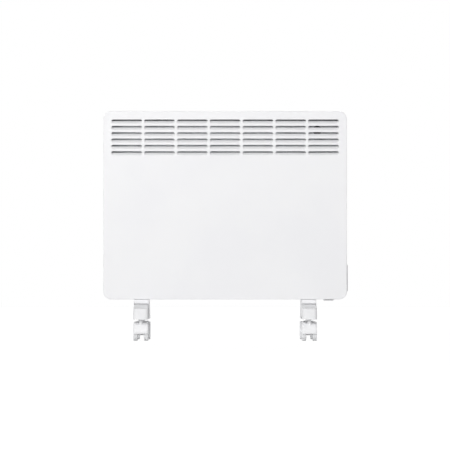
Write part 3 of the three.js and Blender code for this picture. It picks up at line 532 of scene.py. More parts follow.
# one louvre with the flat sheet round it, about the middle of its lower edge
def louvreTile():
    soft, height, rise, cheek = (louvre[key] for key in ("corner", "height", "rise", "cheek"))
    half, straight = louvre["width"] / 2, height - soft
    curl = [cheek * (i / 6) ** 1.25 for i in range(7)]
    across = [-half + s for s in curl] + [half - s for s in reversed(curl)]
    up = [rise * (i / 8) ** 1.4 for i in range(9)]
    lean = soft - math.sqrt(soft ** 2 - (rise - straight) ** 2)
    points, faces = [], []
    for k, v in enumerate(up):
        for x in across:
            end = min(half - abs(x), cheek) / cheek
            pressed = louvre["depth"] * math.sin(end * math.pi / 2) * (v / rise) ** 1.35
            pulled = lean * math.copysign(1, x) if k == len(up) - 1 and end == 0 else 0
            points.append((x - pulled, front + pressed, v))
    wide = len(across)
    for k in range(len(up) - 1):
        for i in range(wide - 1):
            a = k * wide + i
            faces.append((a, a + 1, a + wide + 1, a + wide))
    # the rest of the opening's edge, over the blade's top corners, anticlockwise
    first = math.asin((rise - straight) / soft)
    arch = sweep(soft, first, math.pi / 2, 7, (half - soft, straight))[1:]
    rightArc, leftArc, corner = (len(points) + i * len(arch) for i in range(3))
    side, over = louvre["step"][0] / 2, (louvre["step"][1] - height) / 2
    points += [(x, front, z) for x, z in arch] + [(-x, front, z) for x, z in reversed(arch)]
    points += [(-side, front, -over), (side, front, -over), (side, front, height + over),
               (-side, front, height + over)]
    leftSide = [k * wide for k in range(len(up))]
    rightSide = [a + wide - 1 for a in reversed(leftSide)]
    faces.append((corner, corner + 1, *reversed(range(wide))))
    faces.append((corner + 1, corner + 2, *reversed(range(rightArc, leftArc)), *rightSide))
    faces.append((corner + 2, corner + 3, leftArc, leftArc - 1))
    faces.append((corner + 3, corner, *leftSide, *reversed(range(leftArc, corner))))
    return pieceOf("louvreTile", points, faces)


# rings of a folded tray, from its open edge to its flat face
def trayRings(drawnIn, corner, mouth, face):
    middle = (0, hem + casing["height"] / 2)
    bend, way = casing["bend"], math.copysign(1, face - mouth)
    stations = [(mouth, 0)]
    stations += [(face - way * bend * (1 - math.sin(t)), bend * (1 - math.cos(t))) for t in quarter(6)]
    rings = []
    for y, drawn in stations:
        width, height = (casing[side] - 2 * (drawnIn + drawn) for side in ("width", "height"))
        loop = rectangle(width, height, corner - drawn, casing["cornerSteps"], middle)
        rings.append([(u, y, v) for u, v in loop])
    return rings


# the front shell without its louvres: the folded walls, and four faces between the fold and the louvre field
def sheetFrame():
    rings = trayRings(0, casing["corner"], front + casing["shellDepth"], front)
    columns, rowCount, (stepX, stepZ) = louvre["columns"], louvre["rows"], louvre["step"]
    right = columns * stepX / 2
    top = hem + casing["height"] - louvre["top"] + (stepZ - louvre["height"]) / 2
    bottom = top - rowCount * stepZ
    edge = [(right - i * stepX, top) for i in range(columns)]
    edge += [(-right, top - i * stepZ) for i in range(rowCount)]
    edge += [(-right + i * stepX, bottom) for i in range(columns)]
    edge += [(right, bottom + i * stepZ) for i in range(rowCount)]
    fold, steps, start, faces = rings[-1], casing["cornerSteps"], 0, []
    for corner, length in enumerate((columns, rowCount, columns, rowCount)):
        first = corner * (steps + 1) + steps // 2
        faces.append(tuple([(first + i) % len(fold) for i in range(steps + 2)]
                           + [len(fold) + (start + i) % len(edge) for i in range(length, -1, -1)]))
        start += length
    return skinned("walls", rings, ends=()), pieceOf("face", fold + [(u, front, v) for u, v in edge], faces)


inlet = {"slot": (18, 5), "step": (24, 14), "setback": 16, "rows": 2, "clear": 181}


def inletCutters():
    length, width = inlet["slot"]
    stepX, stepY = inlet["step"]
    count = int(2 * inlet["clear"] / stepX)
    middle = (-(count - 1) / 2 * stepX, front + inlet["setback"] + width / 2)
    slot = prism("slot", rectangle(length, width, width / 2 - 0.05, 6, middle), "z", *underside)
    return spread(rows, slot, (0, 0, 0), finishes["casing_paint"], Columns=count, Rows=inlet["rows"],
                  ColumnStep=(stepX * mm, 0, 0), RowStep=(0, stepY * mm, 0))


seamScrew = {"radius": 3.1, "shank": 1.9, "length": 7, "head": (0.1, 0.3, 1.9), "cross": (3.6, 0.8, 0.9),
             "setback": 5, "ends": 40, "rows": 3}


# cuts a cross of (length, width, reach) into a screw's head along an axis, starting before its face
def crossed(body, axis, cross, start, place=(0, 0, 0)):
    long, wide, reach = cross
    for u, v in ((wide / 2, long / 2), (long / 2, wide / 2)):
        combined(body, block("slot", along(axis, -u, -v, start), along(axis, u, v, reach), place))
    return body


# a countersunk screw about the middle of its head's face, pointing along +X
def countersunk(extra):
    radius, shank, length = seamScrew["radius"] + extra, seamScrew["shank"] + extra, seamScrew["length"]
    face, brim, throat = seamScrew["head"]
    face = -1 if extra else face
    screw = turned("screw", [(0, face), (radius, face), (radius, brim), (shank, throat), (shank, length),
                             (0, length)], "x", steps=24)
    return screw if extra else crossed(screw, "x", seamScrew["cross"], -0.5)


# the seam screws of both side walls, or with another radius the tools that make their holes
def seamSet(name, extra=0.0):
    count, ends, sides = seamScrew["rows"], seamScrew["ends"], []
    step = (casing["height"] - 2 * ends) / (count - 1)
    for side in (-1, 1):
        screw = countersunk(extra)
        if side > 0:
            shifted(screw, turn=Matrix.Rotation(math.pi, 4, "Z"))
        place = (side * wall, front + casing["shellDepth"] - seamScrew["setback"], hem + ends)
        sides.append(spread(rows, screw, place, finishes["plated_steel"], Columns=1, Rows=count,
                            RowStep=(0, 0, step * mm)))
    return merged(name, *sides)


controls = {
    "width": 38, "height": 63, "setback": 10, "lap": 2, "corner": 5, "proud": 2.5, "wall": 2, "housing": 22,
    "wellDepth": 9, "wellRadius": 14.6, "edge": 0.7,
    "cut": (1.7, 3.3),  # the wall's hole: inside the bezel's edge by this much, and its corner
}
controlY = front + controls["setback"] + controls["width"] / 2
controlZ = hem + casing["corner"] + controls["height"] / 2
switch = {"setIn": 43, "setback": 28, "flange": (24, 15), "body": (21.5, 12.5), "loose": 0.6, "height": 19,
          "thick": 2.7}
switchX, switchY = wall - switch["setIn"], front + switch["setback"]
foot = {"inset": 91, "screws": (-20, 30), "bore": 2.9}
footXs = {"left": -(wall - foot["inset"]), "right": wall - foot["inset"]}


def casingShell():
    stepX, stepZ = louvre["step"]
    top = hem + casing["height"] - louvre["top"] - louvre["height"]
    first = (-(louvre["columns"] - 1) / 2 * stepX, 0, top)
    field = spread(rows, louvreTile(), first, finishes["casing_paint"], Columns=louvre["columns"],
                   Rows=louvre["rows"], ColumnStep=(stepX * mm, 0, 0), RowStep=(0, 0, -stepZ * mm))
    shell = cleaned(merged("casing_shell", *sheetFrame(), field))
    modified(shell, "SOLIDIFY", thickness=casing["sheet"] * mm, offset=-1, use_even_offset=True,
             use_quality_normals=True, thickness_clamp=0)
    drawn, corner = controls["cut"]
    wide, tall = controls["width"] - 2 * drawn, controls["height"] - 2 * drawn
    hole = prism("hole", rectangle(wide, tall, corner, 5, (controlY, controlZ)), "x", wall - 4, wall + 2)
    long, wide = (size + switch["loose"] for size in switch["body"])
    slot = prism("slot", rectangle(long, wide, 0.5, 2, (switchX, switchY)), "z", *underside)
    combined(shell, inletCutters(), hole, slot, seamSet("seamHoles", 0.25))
    for x in footXs.values():
        combined(shell, rod("bore", foot["bore"], "z", *underside, (x, foot["screws"][0], 0), 24))
    return shaded(cleaned(shell), 42)


fitted("casing_shell", casingShell(), "casing", "casing_paint", "front_casing")
fitted("seam_screws", shaded(seamSet("seam_screws")), "casing", "plated_steel")
print("casing folded")


pan = {"inset": 1.3, "corner": 17.7, "slot": (24, 9, 3), "slotX": 141, "slotRise": (60, 300)}
gland = {"x": 245, "rise": 30, "hole": 8.4, "bore": 4, "neck": 8, "flange": 11, "proud": 2.8, "length": 9,
         "barb": 3, "waist": 1.6}
entry = (gland["x"], 0, hem + gland["rise"])


def backPan():
    rings = trayRings(pan["inset"], pan["corner"], front + casing["shellDepth"] - casing["lip"], back)
    shell = skinned("pan", rings, ends=(1,))
    modified(shell, "SOLIDIFY", thickness=casing["sheet"] * mm, offset=-1, use_even_offset=True)
    through = back - 4, back + 2
    for x in (-pan["slotX"], pan["slotX"]):
        for rise in pan["slotRise"]:
            loop = rectangle(*pan["slot"], 5, (x, hem + rise))
            combined(shell, prism("slot", loop, "y", *through))
    combined(shell, rod("entry", gland["hole"], "y", *through, entry))
    for x in footXs.values():
        combined(shell, rod("bore", foot["bore"], "z", *underside, (x, foot["screws"][1], 0)))
    combined(shell, seamSet("seamHoles", -0.1))
    return shaded(cleaned(shell), 42)


# snap-in grommet that lines the cable entry
def grommet():
    bore, neck, flange = gland["bore"], gland["neck"], gland["flange"]
    end, catch, proud = back - gland["length"], back - gland["length"] + gland["barb"], back + gland["proud"]
    profile = rounded([(bore, end), (neck - 1, end), (neck, catch), (neck, back - gland["waist"]),
                       (neck, back + seat), (flange, back + seat), (flange, proud, 1.6), (bore, proud, 1.8)])
    return shaded(turned("grommet", profile, "y", entry))


fitted("back_pan", backPan(), "casing", "galvanised_steel", "back_panel")
fitted("cable_grommet", grommet(), "casing", "black_plastic", "cable_gland")
print("back pan pressed")

rail = {
    "width": 35.6, "length": 224, "nose": 26, "slope": 35.5, "corner": 9, "edge": 3, "lowEdge": 0.8,
    "wall": 3.5, "waist": 0.95, "taper": 50, "socket": (5.9, 22.3),
    "foot": hem - 47.3,  # underside above the floor
}
saddle = {"length": 76, "thick": 1.2, "lift": 2.7, "corner": 8, "plate": 9.8, "bend": 2.1, "fold": 6,
          "recess": 0.5}
castor = {"span": 180, "trail": 16, "axle": 20, "boss": 28.7, "flange": 7}
screw = {"radius": 2.5, "head": 4.8, "tall": 3.4, "seat": 20, "boss": 8, "nut": 4, "end": 1.5,
         "cross": (5, 1, 1.6), "sheets": {"front": 1, "rear": 2.3}}


# height of the rail's top along its length, softened above its end faces
def railTop(y):
    near, far = saddle["length"] / 2 + 2, rail["length"] / 2 - rail["edge"]
    share = min(max((abs(y) - near) / (far - near), 0), 1)
    ahead = min(max(abs(y) - far, 0), rail["edge"])
    fall = rail["edge"] - math.sqrt(rail["edge"] ** 2 - ahead ** 2)
    return rail["foot"] + rail["slope"] + (rail["nose"] - rail["slope"]) * share - fall


# half its width: full at the noses, whose corners are rounded, and waisted under the saddle
def railHalf(y):
    half, corner = rail["width"] / 2, rail["corner"]
    ahead = min(max(abs(y) - rail["length"] / 2 + corner, 0), corner)
    run = min(max((saddle["length"] / 2 + rail["taper"] - abs(y)) / (rail["taper"] - seat), 0), 1)
    return half - rail["waist"] * run - corner + math.sqrt(corner ** 2 - ahead ** 2)


def railSection(y, top):
    half, height, low = railHalf(y), top or railTop(y), rail["foot"]
    soft, small = rail["edge"], rail["lowEdge"]
    right = sweep(small, -math.pi / 2, 0, 6, (half - small, low + small))
    right += sweep(soft, 0, math.pi / 2, 6, (half - soft, height - soft))
    return [(u, y, v) for u, v in right + [(-u, v) for u, v in reversed(right)]]


def footRail(x):
    far, near, low, sheet = rail["length"] / 2, saddle["length"] / 2, rail["foot"], rail["wall"]
    steps = {round(far - rail["corner"] * (1 - math.sin(t)), 3) for t in quarter(10)}
    steps |= {round(far - rail["edge"] * (1 - math.sin(t)), 3) for t in quarter(10)[::2]}
    steps |= {near + 2} | {near + rail["taper"] * i / 8 for i in range(1, 9)}
    # the tongue that fills the saddle stands higher than the arms
    rise, tongue = near - saddle["fold"], hem - saddle["thick"] - 2 * seat
    run = [(y, None) for y in sorted(steps | {rise})]
    stations = [(-y, top) for y, top in reversed(run)] + [(-rise, tongue), (rise, tongue)] + run
    body = skinned("rail", [railSection(y, top) for y, top in stations], place=(x, 0, 0))
    wide, socket, stem = rail["width"] - 2 * sheet, castor["flange"] + sheet, castor["span"] / 2
    first, last = foot["screws"]
    stops = [-stem + socket, first - screw["boss"], first + screw["boss"], last - screw["boss"],
             last + screw["boss"], stem - socket]
    for start, end in zip(stops[::2], stops[1::2]):
        length = (end - start - sheet) / 2
        for y in (start + length / 2, end - length / 2):
            loop = rectangle(wide, length, 1.5, 3, (0, y))
            combined(body, prism("pocket", loop, "z", low - 1, low + rail["nose"] - sheet, (0, 1), (x, 0, 0)))
    for y in (-stem, stem):
        radius, deep = rail["socket"]
        combined(body, rod("socket", radius, "z", low - 1, low + deep, (x, y, 0)))
    for y in foot["screws"]:
        deep = low + screw["seat"]
        combined(body, rod("seat", screw["head"] + seat, "z", low - 1, deep, (x, y, 0)),
                 rod("shank", screw["radius"] + seat, "z", deep - 1, hem, (x, y, 0)))
    return shaded(cleaned(body), 38)


# outline of a folded sheet: an upside-down U
def bridge(half, low, top):
    thick, bend = saddle["thick"], saddle["bend"]
    inside, under = half - thick, (top - thick, bend - thick)
    return rounded([(-half, low), (-inside, low), (-inside, *under), (inside, *under), (inside, low),
                    (half, low), (half, top, bend), (-half, top, bend)])


# a folded sheet channel over the rail, with a second fold inside it whose ends close it
def footSaddle(x):
    thick, half, place = saddle["thick"], saddle["length"] / 2, (x, 0, 0)
    inside = rail["width"] / 2 - rail["waist"] + seat
    outer, top, lower = inside + thick, hem - seat, rail["foot"] + saddle["lift"]
    side = rounded([(-half, top + 1), (-half, lower, saddle["corner"]), (half, lower, saddle["corner"]),
                    (half, top + 1)], 8)
    channel = combined(prism("channel", bridge(outer, lower, top), "y", -half, half, place=place),
                       prism("side", side, "x", -outer - 1, outer + 1, place=place), how="INTERSECT")
    for way in (-1, 1):
        low, high = sorted((way * (half - saddle["fold"]), way * (half + 1)))
        combined(channel, block("notch", (-inside, low, top - thick - 0.02), (inside, high, top + 1), place))
    fold = bridge(half - saddle["recess"], top - saddle["plate"], top - 0.02)
    combined(channel, prism("plates", fold, "x", seat - inside, inside - seat, place=place), how="UNION")
    for y in foot["screws"]:
        combined(channel, rod("bore", screw["radius"] + seat, "z", top - 3, top + 1, (x, y, 0)))
    return shaded(cleaned(channel), 38)


# pan-head screw with a cross recess, up through rail, saddle and as many millimetres of sheet
def footScrew(place, sheets):
    seated = rail["foot"] + screw["seat"] - seat
    end = hem + sheets + seat + screw["nut"] + screw["end"]
    low, head, shank = seated - screw["tall"], screw["head"], screw["radius"]
    profile = rounded([(0, low), (head, low, 1.8), (head, seated, 0.3), (shank, seated), (shank, end, 0.6),
                       (0, end)])
    long, wide, deep = screw["cross"]
    body = turned("screw", profile, "z", place, 32)
    return shaded(cleaned(crossed(body, "z", (long, wide, low + deep), low - 1, place)))


for side, x in footXs.items():
    fitted(f"rail_{side}", footRail(x), "casing", "white_plastic", f"foot_rail_{side}")
    fitted(f"saddle_{side}", footSaddle(x), "casing", "casing_paint", f"foot_saddle_{side}")
    for (row, sheets), y in zip(screw["sheets"].items(), foot["screws"]):
        tag = f"{side}_{row}"
        fitted(f"screw_{tag}", footScrew((x, y, 0), sheets), "casing", "plated_steel", f"foot_screw_{tag}")
print("feet moulded")


hood = {"radius": 25.6, "wall": 3, "lip": 0.6, "width": 35.4, "shoulder": 5.5, "frontDrop": 3.3,
        "rearAngle": 20, "webGap": 0.5, "hub": 7, "fan": 48, "bite": 0.5, "bossFoot": 4}
wheel = {"radius": 20, "width": 10.2, "gap": 14.8, "step": 0.5, "tread": 1.2, "dish": 2.3, "dishRadius": 14.5,
         "spokes": 9, "spoke": (5.7, 1.4)}
axle = {"radius": 3, "head": 4.6, "thick": 1.2}
stem = {"radius": 3.4, "boss": 4.5, "deep": 17, "length": 40, "groove": 6, "cut": 0.7}
bush = {"radius": 5.6, "flange": 1.7, "length": 24}
kingpin = (0, -castor["trail"], 0)  # where the stem stands, seen from the axle


def hoodSkin():
    half, outer, inner = hood["width"] / 2, hood["radius"], hood["radius"] - hood["wall"]
    lip, shoulder = inner + hood["lip"], hood["shoulder"]
    right = [(lip + (outer - lip) * math.cos(t), half - shoulder * (1 - math.sin(t))) for t in quarter(8)]
    right += [(inner, half - 0.2)]
    skin = turned("hood", right + [(r, -w) for r, w in reversed(right)], "x", steps=96)
    rear, ahead = math.radians(hood["rearAngle"]), math.pi + math.asin(hood["frontDrop"] / outer)
    sector = [(0, 0)] + sweep(2 * outer, rear, ahead, 12)
    return combined(skin, prism("sector", sector, "x", -half - 1, half + 1), how="INTERSECT")


# swivel body: a hood over both wheels on a central web, with the stem's boss at its front
def castorHood():
    shell, halfWeb, top = hoodSkin(), wheel["gap"] / 2 - hood["webGap"], castor["boss"]
    reach, fan = hood["radius"] - hood["wall"] + hood["bite"], math.radians(hood["fan"])
    outline = sweep(hood["hub"], math.pi, math.tau + fan, 24) + sweep(reach, fan, math.pi, 24)
    radius, low = stem["boss"], hood["bossFoot"]
    boss = rounded([(0, low), (radius, low), (radius, top, 0.7), (0, top)])
    combined(shell, prism("web", outline, "x", -halfWeb, halfWeb), turned("boss", boss, "z", kingpin, 40),
             how="UNION")
    combined(shell, rod("bore", stem["radius"] + seat, "z", top - stem["deep"], top + 1, kingpin),
             rod("pin", axle["radius"] + seat, "x", -halfWeb - 1, halfWeb + 1))
    return shaded(cleaned(shell), 40)


# one of the twin wheels, from its inner face at 0 out along X: rounded tread, dished face with spokes
def castorWheel(way):
    bore, outer, wide, dish, step = axle["radius"] + 0.4, *(wheel[key] for key in (
        "radius", "width", "dishRadius", "step"))
    floor, end, (start, thin) = wide - wheel["dish"], dish + 0.5, wheel["spoke"]
    profile = rounded([(bore, 0), (outer - 4.5, 0), (outer - 3.9, step), (outer, step, 1),
                       (outer, wide, wheel["tread"]), (dish + 1, wide, 0.5), (dish, floor, 0.6),
                       (bore, floor)], 4)
    loop = rectangle(end - start, thin, 0.6, 3, ((start + end) / 2, 0))
    spoke = prism("spoke", loop, "x", floor - 0.4, floor + 1.3, (0, 0.4))
    spokes = spread(arc, spoke, (0, 0, 0), finishes["wheel_plastic"], Count=wheel["spokes"],
                    Step=math.tau / wheel["spokes"])
    tyre = combined(turned("tyre", profile, "x", steps=72), spokes, how="UNION")
    if way < 0:
        shifted(tyre, turn=Matrix.Rotation(math.pi, 4, "Z"))
    return shaded(cleaned(tyre), 34)


def castorAxle():
    hub, slim, head = wheel["gap"] / 2 + wheel["width"] - wheel["dish"] + seat, axle["radius"], axle["head"]
    end = hub + axle["thick"]
    profile = rounded([(0, -end), (head, -end, 0.8), (head, -hub), (slim, -hub), (slim, hub), (head, hub),
                       (head, end, 0.8), (0, end)])
    return shaded(turned("pin", profile, "x", steps=40))


def castorStem():
    low, thick = castor["boss"] - stem["deep"] + seat, stem["radius"]
    top, slim = low + stem["length"], thick - stem["cut"]
    ring = top - stem["groove"]
    profile = rounded([(0, low), (thick, low, 0.4), (thick, ring, 0.2), (slim, ring + 0.8, 0.2),
                       (slim, ring + 1.4, 0.2), (thick, ring + 2.2, 0.2), (thick, top - 1.6, 1),
                       (thick - 1.6, top, 0.6), (0, top)], 3)
    return shaded(turned("pin", profile, "z", kingpin, 32))


def castorBush():
    low, inner, outer, collar = castor["boss"] + seat, stem["radius"] + seat, bush["radius"], castor["flange"]
    brim, top = low + bush["flange"], low + bush["length"]
    profile = rounded([(inner, low), (collar, low, 0.5), (collar, brim, 0.3), (outer, brim),
                       (outer, top, 0.5), (inner, top, 0.3)], 3)
    return shaded(turned("sleeve", profile, "z", kingpin, 40))


for row, y in (("front", -castor["span"] / 2), ("rear", castor["span"] / 2)):
    for side, x in footXs.items():
        at, tag = (x, y + castor["trail"], castor["axle"]), f"{row}_{side}"
        for part, make, body, slot in (
                ("hood", castorHood, f"castor_{tag}", "white_plastic"),
                ("stem", castorStem, f"castor_{tag}", "plated_steel"),
                ("axle", castorAxle, f"castor_{tag}", "plated_steel"),
                ("bush", castorBush, "casing", "wheel_plastic")):
            fitted(f"{part}_{tag}", shifted(make(), at), body, slot, f"castor_{part}_{tag}")
        # the inner wheel is the one nearer the casing's middle
        for name, way in (("inner", -math.copysign(1, x)), ("outer", math.copysign(1, x))):
            made = shifted(castorWheel(way), (x + way * wheel["gap"] / 2, *at[1:]))
            fitted(f"twin_{tag}_{name}", made, f"wheel_{tag}_{name}", "wheel_plastic",
                   f"castor_wheel_{tag}_{name}")
print("castors assembled")


dial = {
    "radius": 14, "disc": 3, "rim": (2.4, 0.5), "grip": (6, 23), "shaft": 3.3, "bored": 5.3,
    "groove": (1.2, 6, 0.6), "notches": 40, "notch": 0.45,
    "turn": 135,  # degrees to either side of upright
    "numbers": 7, "type": 2.6, "ink": 0.08,
    "ring": 18,  # radius of the numbers
    "tick": (0.4, 1.3, 0.8),  # its width, its length and how far it stays inside the ring
}
bezelFace = wall + controls["proud"] - dial["ink"]
wellFloor = wall + controls["proud"] - controls["wellDepth"]
dialPlace = (0, controlY, controlZ)


def controlBezel():
    middle, lap, thick, room = dialPlace[1:], controls["lap"], controls["wall"], controls["wellRadius"]
    wide, tall, corner = controls["width"], controls["height"], controls["corner"]
    flange = rectangle(wide, tall, corner, 8, middle)
    body = prism("flange", flange, "x", wall + seat, bezelFace, (0, controls["edge"]), steps=6)
    wide, tall = wide - 2 * lap, tall - 2 * lap
    outer = rectangle(wide, tall, corner - lap, 5, middle)
    inner = rectangle(wide - 2 * thick, tall - 2 * thick, 1, 3, middle)
    depth = wall - controls["housing"]
    combined(body, prism("housing", outer, "x", depth, wall + seat + 1), how="UNION")
    combined(body, prism("hollow", inner, "x", depth - 1, bezelFace - thick))
    cup = rod("cup", room + thick, "x", wellFloor - thick, bezelFace - 1, dialPlace, 96)
    combined(body, cup, how="UNION")
    brim, over = bezelFace + 0.02, bezelFace + 1
    lip = rounded([(0, wellFloor), (room, wellFloor, 0.8), (room, brim, 0.8), (room + 2, brim),
                   (room + 2, over), (0, over)])
    combined(body, turned("well", lip, "x", dialPlace, 96),
             rod("bore", dial["shaft"], "x", wellFloor - 5, wellFloor + 1, dialPlace))
    return shaded(cleaned(body))


# words as thin raised print, read along Y and up Z, their back at 0
def lettering(words, size, thick):
    curve = bpy.data.curves.new(words, "FONT")
    curve.body, curve.size, curve.extrude = words, size * mm, thick / 2 * mm
    curve.align_x, curve.align_y = "CENTER", "CENTER"
    holder = added(words, curve)
    graph = bpy.context.evaluated_depsgraph_get()
    mesh = bpy.data.meshes.new_from_object(holder.evaluated_get(graph))
    bpy.data.objects.remove(holder)
    bpy.data.curves.remove(curve)
    cyclic = Matrix(((0, 0, 1, 0), (1, 0, 0, 0), (0, 1, 0, 0), (0, 0, 0, 1)))
    mesh.transform(Matrix.Translation(home) @ cyclic @ Matrix.Translation((0, 0, thick / 2 * mm)))
    return cleaned(added(words, mesh))


# numbers round the well and a tick halfway between each two
def dialScale():
    thick, ring, count = dial["ink"], dial["ring"], dial["numbers"]
    reach = controls["width"] / 2 - controls["edge"] - 1.15
    least, step = -math.radians(dial["turn"]), math.radians(2 * dial["turn"] / (count - 1))
    pieces = []
    for i in range(count):
        turn = least + i * step
        across = min(max(ring * math.sin(turn), -reach), reach)
        place = (bezelFace, controlY + across, controlZ + ring * math.cos(turn))
        pieces.append(shifted(lettering(str(i), dial["type"], thick), place))
    wide, long, inside = dial["tick"]
    tick = block("tick", (0, -wide / 2, ring - inside - long), (thick, wide / 2, ring - inside))
    pieces.append(spread(arc, tick, (bezelFace, *dialPlace[1:]), ink, Count=count - 1, Start=least + step / 2,
                         Step=step))
    return shaded(merged("dial_scale", *pieces), weighted=False)


def thermostatDial():
    base, radius, thick = wellFloor + seat, dial["radius"], dial["disc"]
    crown, top, (rim, dip) = wall + controls["proud"] - seat, base + thick, dial["rim"]
    profile = rounded([(0, base), (radius, base, 0.3), (radius, top, 0.9), (radius - rim, top, 0.5),
                       (radius - rim - 0.4, top - dip, 0.5), (0, top - dip)])
    body = turned("disc", profile, "x", dialPlace, 120)
    notch = rod("notch", dial["notch"], "x", base - 1, top + 1, (0, 0, radius + 0.15), 8)
    combined(body, spread(arc, notch, dialPlace, ink, Count=dial["notches"], Step=math.tau / dial["notches"]))
    wide, tall = dial["grip"]
    loop = rectangle(wide, tall, wide / 2 - 0.05, 8, dialPlace[1:])
    combined(body, prism("grip", loop, "x", base + 1, crown, (0, 1.3), steps=6), how="UNION")
    across, reach, deep = dial["groove"]
    end = controlZ + tall / 2 - 1
    combined(body, rod("bore", dial["shaft"], "x", base - 1, base + dial["bored"], dialPlace),
             block("groove", (crown - deep, controlY - across / 2, end - reach),
                   (crown + 1, controlY + across / 2, end)))
    return shaded(cleaned(body), 38)


# painted line in the groove of the grip
def dialPointer():
    across, reach, deep = dial["groove"]
    crown, end = wall + controls["proud"] - seat, controlZ + dial["grip"][1] / 2 - 1
    half = across / 2 - 0.02
    return shaded(block("pointer", (crown - deep + 0.02, controlY - half, end - reach + 0.02),
                        (crown - deep + 0.2, controlY + half, end - 1.6)), weighted=False)


fitted("bezel", controlBezel(), "casing", "white_plastic", "control_bezel")
fitted("bezel_scale", dialScale(), "casing", "black_plastic", material=ink)
fitted("dial_knob", thermostatDial(), "dial", "white_plastic", "thermostat_dial")
fitted("dial_pointer", dialPointer(), "dial", "black_plastic", material=ink)

rocker = {"length": 18, "width": 9, "proud": 2.7, "tilt": 9, "depth": 5, "well": (19.6, 10),
          "tab": (0.9, 6, 6.5), "mark": (4.2, 0.06, 0.16)}
rockerAxis = (switchX, switchY, hem - seat)


def switchFrame():
    top, thick, place = hem - seat, switch["thick"], (switchX, switchY)
    flange = rectangle(*switch["flange"], 2, 5, place)
    body = prism("flange", flange, "z", top - thick, top, (0.9, 0), steps=5)
    crown = hem + switch["height"]
    combined(body, prism("box", rectangle(*switch["body"], 0.6, 3, place), "z", top - 0.5, crown, (0, 0.4)),
             how="UNION")
    combined(body, prism("well", rectangle(*rocker["well"], 0.6, 3, place), "z", top - thick - 1,
                         hem + rocker["depth"] + 3))
    thin, wide, tall = rocker["tab"]
    for way in (-1, 1):
        x = switchX + way * (switch["body"][0] - tall) / 2
        combined(body, block("blade", (x - thin / 2, switchY - wide / 2, crown - 1),
                             (x + thin / 2, switchY + wide / 2, crown + tall)), how="UNION")
    return shaded(cleaned(body))


# leans what is built upright about the pivot
def leaned(piece):
    pivot = Matrix.Translation(Vector(rockerAxis) * mm)
    turn = Matrix.Rotation(math.radians(rocker["tilt"]), 4, "Y")
    return shifted(piece, turn=pivot @ turn @ pivot.inverted())


# half the rocker's length and the heights of its face, at the ends and in the middle, from the pivot
def rockerFace():
    half = rocker["length"] / 2
    lean = math.tan(math.radians(rocker["tilt"])) * half
    return half, lean - rocker["proud"], 2 * lean - rocker["proud"] - 0.6


def switchRocker():
    (half, tip, valley), wide, deep = rockerFace(), rocker["width"] / 2, rocker["depth"]
    profile = rounded([(-half, deep), (-half, tip, 0.35), (-half + 1, tip - 0.6, 0.9), (0, valley, 30),
                       (half - 1, tip - 0.6, 0.9), (half, tip, 0.35), (half, deep)], 8)
    return leaned(shaded(prism("rocker", profile, "y", -wide, wide, (0.35, 0.35), rockerAxis)))


# the plain I and O on the rocker's two faces
def rockerMarks():
    half, tip, valley = rockerFace()
    slope = math.atan2(valley - tip + 0.6, half - 1)
    size, thick, clear = rocker["mark"]
    marks = []
    for words, way in (("I", -1), ("O", 1)):
        mark = lettering(words, size, thick)
        shifted(mark, turn=Matrix.Rotation(way * slope, 4, "Y") @ Matrix.Rotation(math.pi / 2, 4, "Y"))
        height = valley + (tip - 0.6 - valley) * half / 2 / (half - 1)
        marks.append(shifted(mark, Vector(rockerAxis) + Vector((way * half / 2, 0, height - clear))))
    return leaned(shaded(merged("marks", *marks), weighted=False))


fitted("rocker_frame", switchFrame(), "casing", "white_plastic", "switch_frame")
fitted("rocker_key", switchRocker(), "rocker", "white_plastic", "switch_rocker")
fitted("rocker_marks", rockerMarks(), "rocker", "black_plastic", material=ink)
print("controls fitted")


element = {
    "left": -258.2, "right": 188.2,  # ends of the cast core
    "rise": 92, "core": (9, 30), "stud": (4, 16),
    "fin": (38, 58), "finThick": 1.4, "fins": 57, "finStep": 7.5, "slot": (3.5, 18, 1.7), "slotAt": (12, 15),
}


# cast core with a stud at each end and cross fins, each fin with four slots that let the air through
def heatingElement():
    z, step = hem + element["rise"], element["finStep"]
    core = rectangle(*element["core"], 2, 5, (0, z))
    body = prism("core", core, "x", element["left"], element["right"], (1, 1))
    radius, length = element["stud"]
    for end, way in ((element["left"], -1), (element["right"], 1)):
        low, high = sorted((end - way, end + way * length))
        combined(body, rod("stud", radius, "x", low, high, (0, 0, z)), how="UNION")
    half = element["finThick"] / 2
    fin = prism("fin", rectangle(*element["fin"], 4, 6, (0, z)), "x", -half, half, (0.3, 0.3), steps=2)
    y, rise = element["slotAt"]
    for at in ((-y, z - rise), (-y, z + rise), (y, z - rise), (y, z + rise)):
        combined(fin, prism("slot", rectangle(*element["slot"], 5, at), "x", -half - 1, half + 1))
    first = (element["left"] + element["right"] - (element["fins"] - 1) * step) / 2
    fins = spread(rows, fin, (first, 0, 0), finishes["cast_aluminium"], Columns=element["fins"], Rows=1,
                  ColumnStep=(step * mm, 0, 0))
    return shaded(cleaned(combined(body, fins, how="UNION")), 38)


fitted("finned_element", heatingElement(), "casing", "cast_aluminium", "heating_element")
print("element cast")

# CAD nodes whose own shape stays, in the detailed finishes
kept = {
    "galvanised_steel": ("element_support_left", "element_support_right", "heat_shield", "cutout_bracket"),
    "ceramic": ("element_bush_left", "element_bush_right", "terminal_block"),
    "black_plastic": ("overheat_cutout", "thermostat_body"),
    "plated_steel": ("thermostat_shaft", "foot_nut_left_front", "foot_nut_left_rear", "foot_nut_right_front",
                     "foot_nut_right_rear"),
}
for slot, names in kept.items():
    for name in names:
        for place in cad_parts[name].material_slots:
            place.material = finishes[slot]
print("inner parts finished")


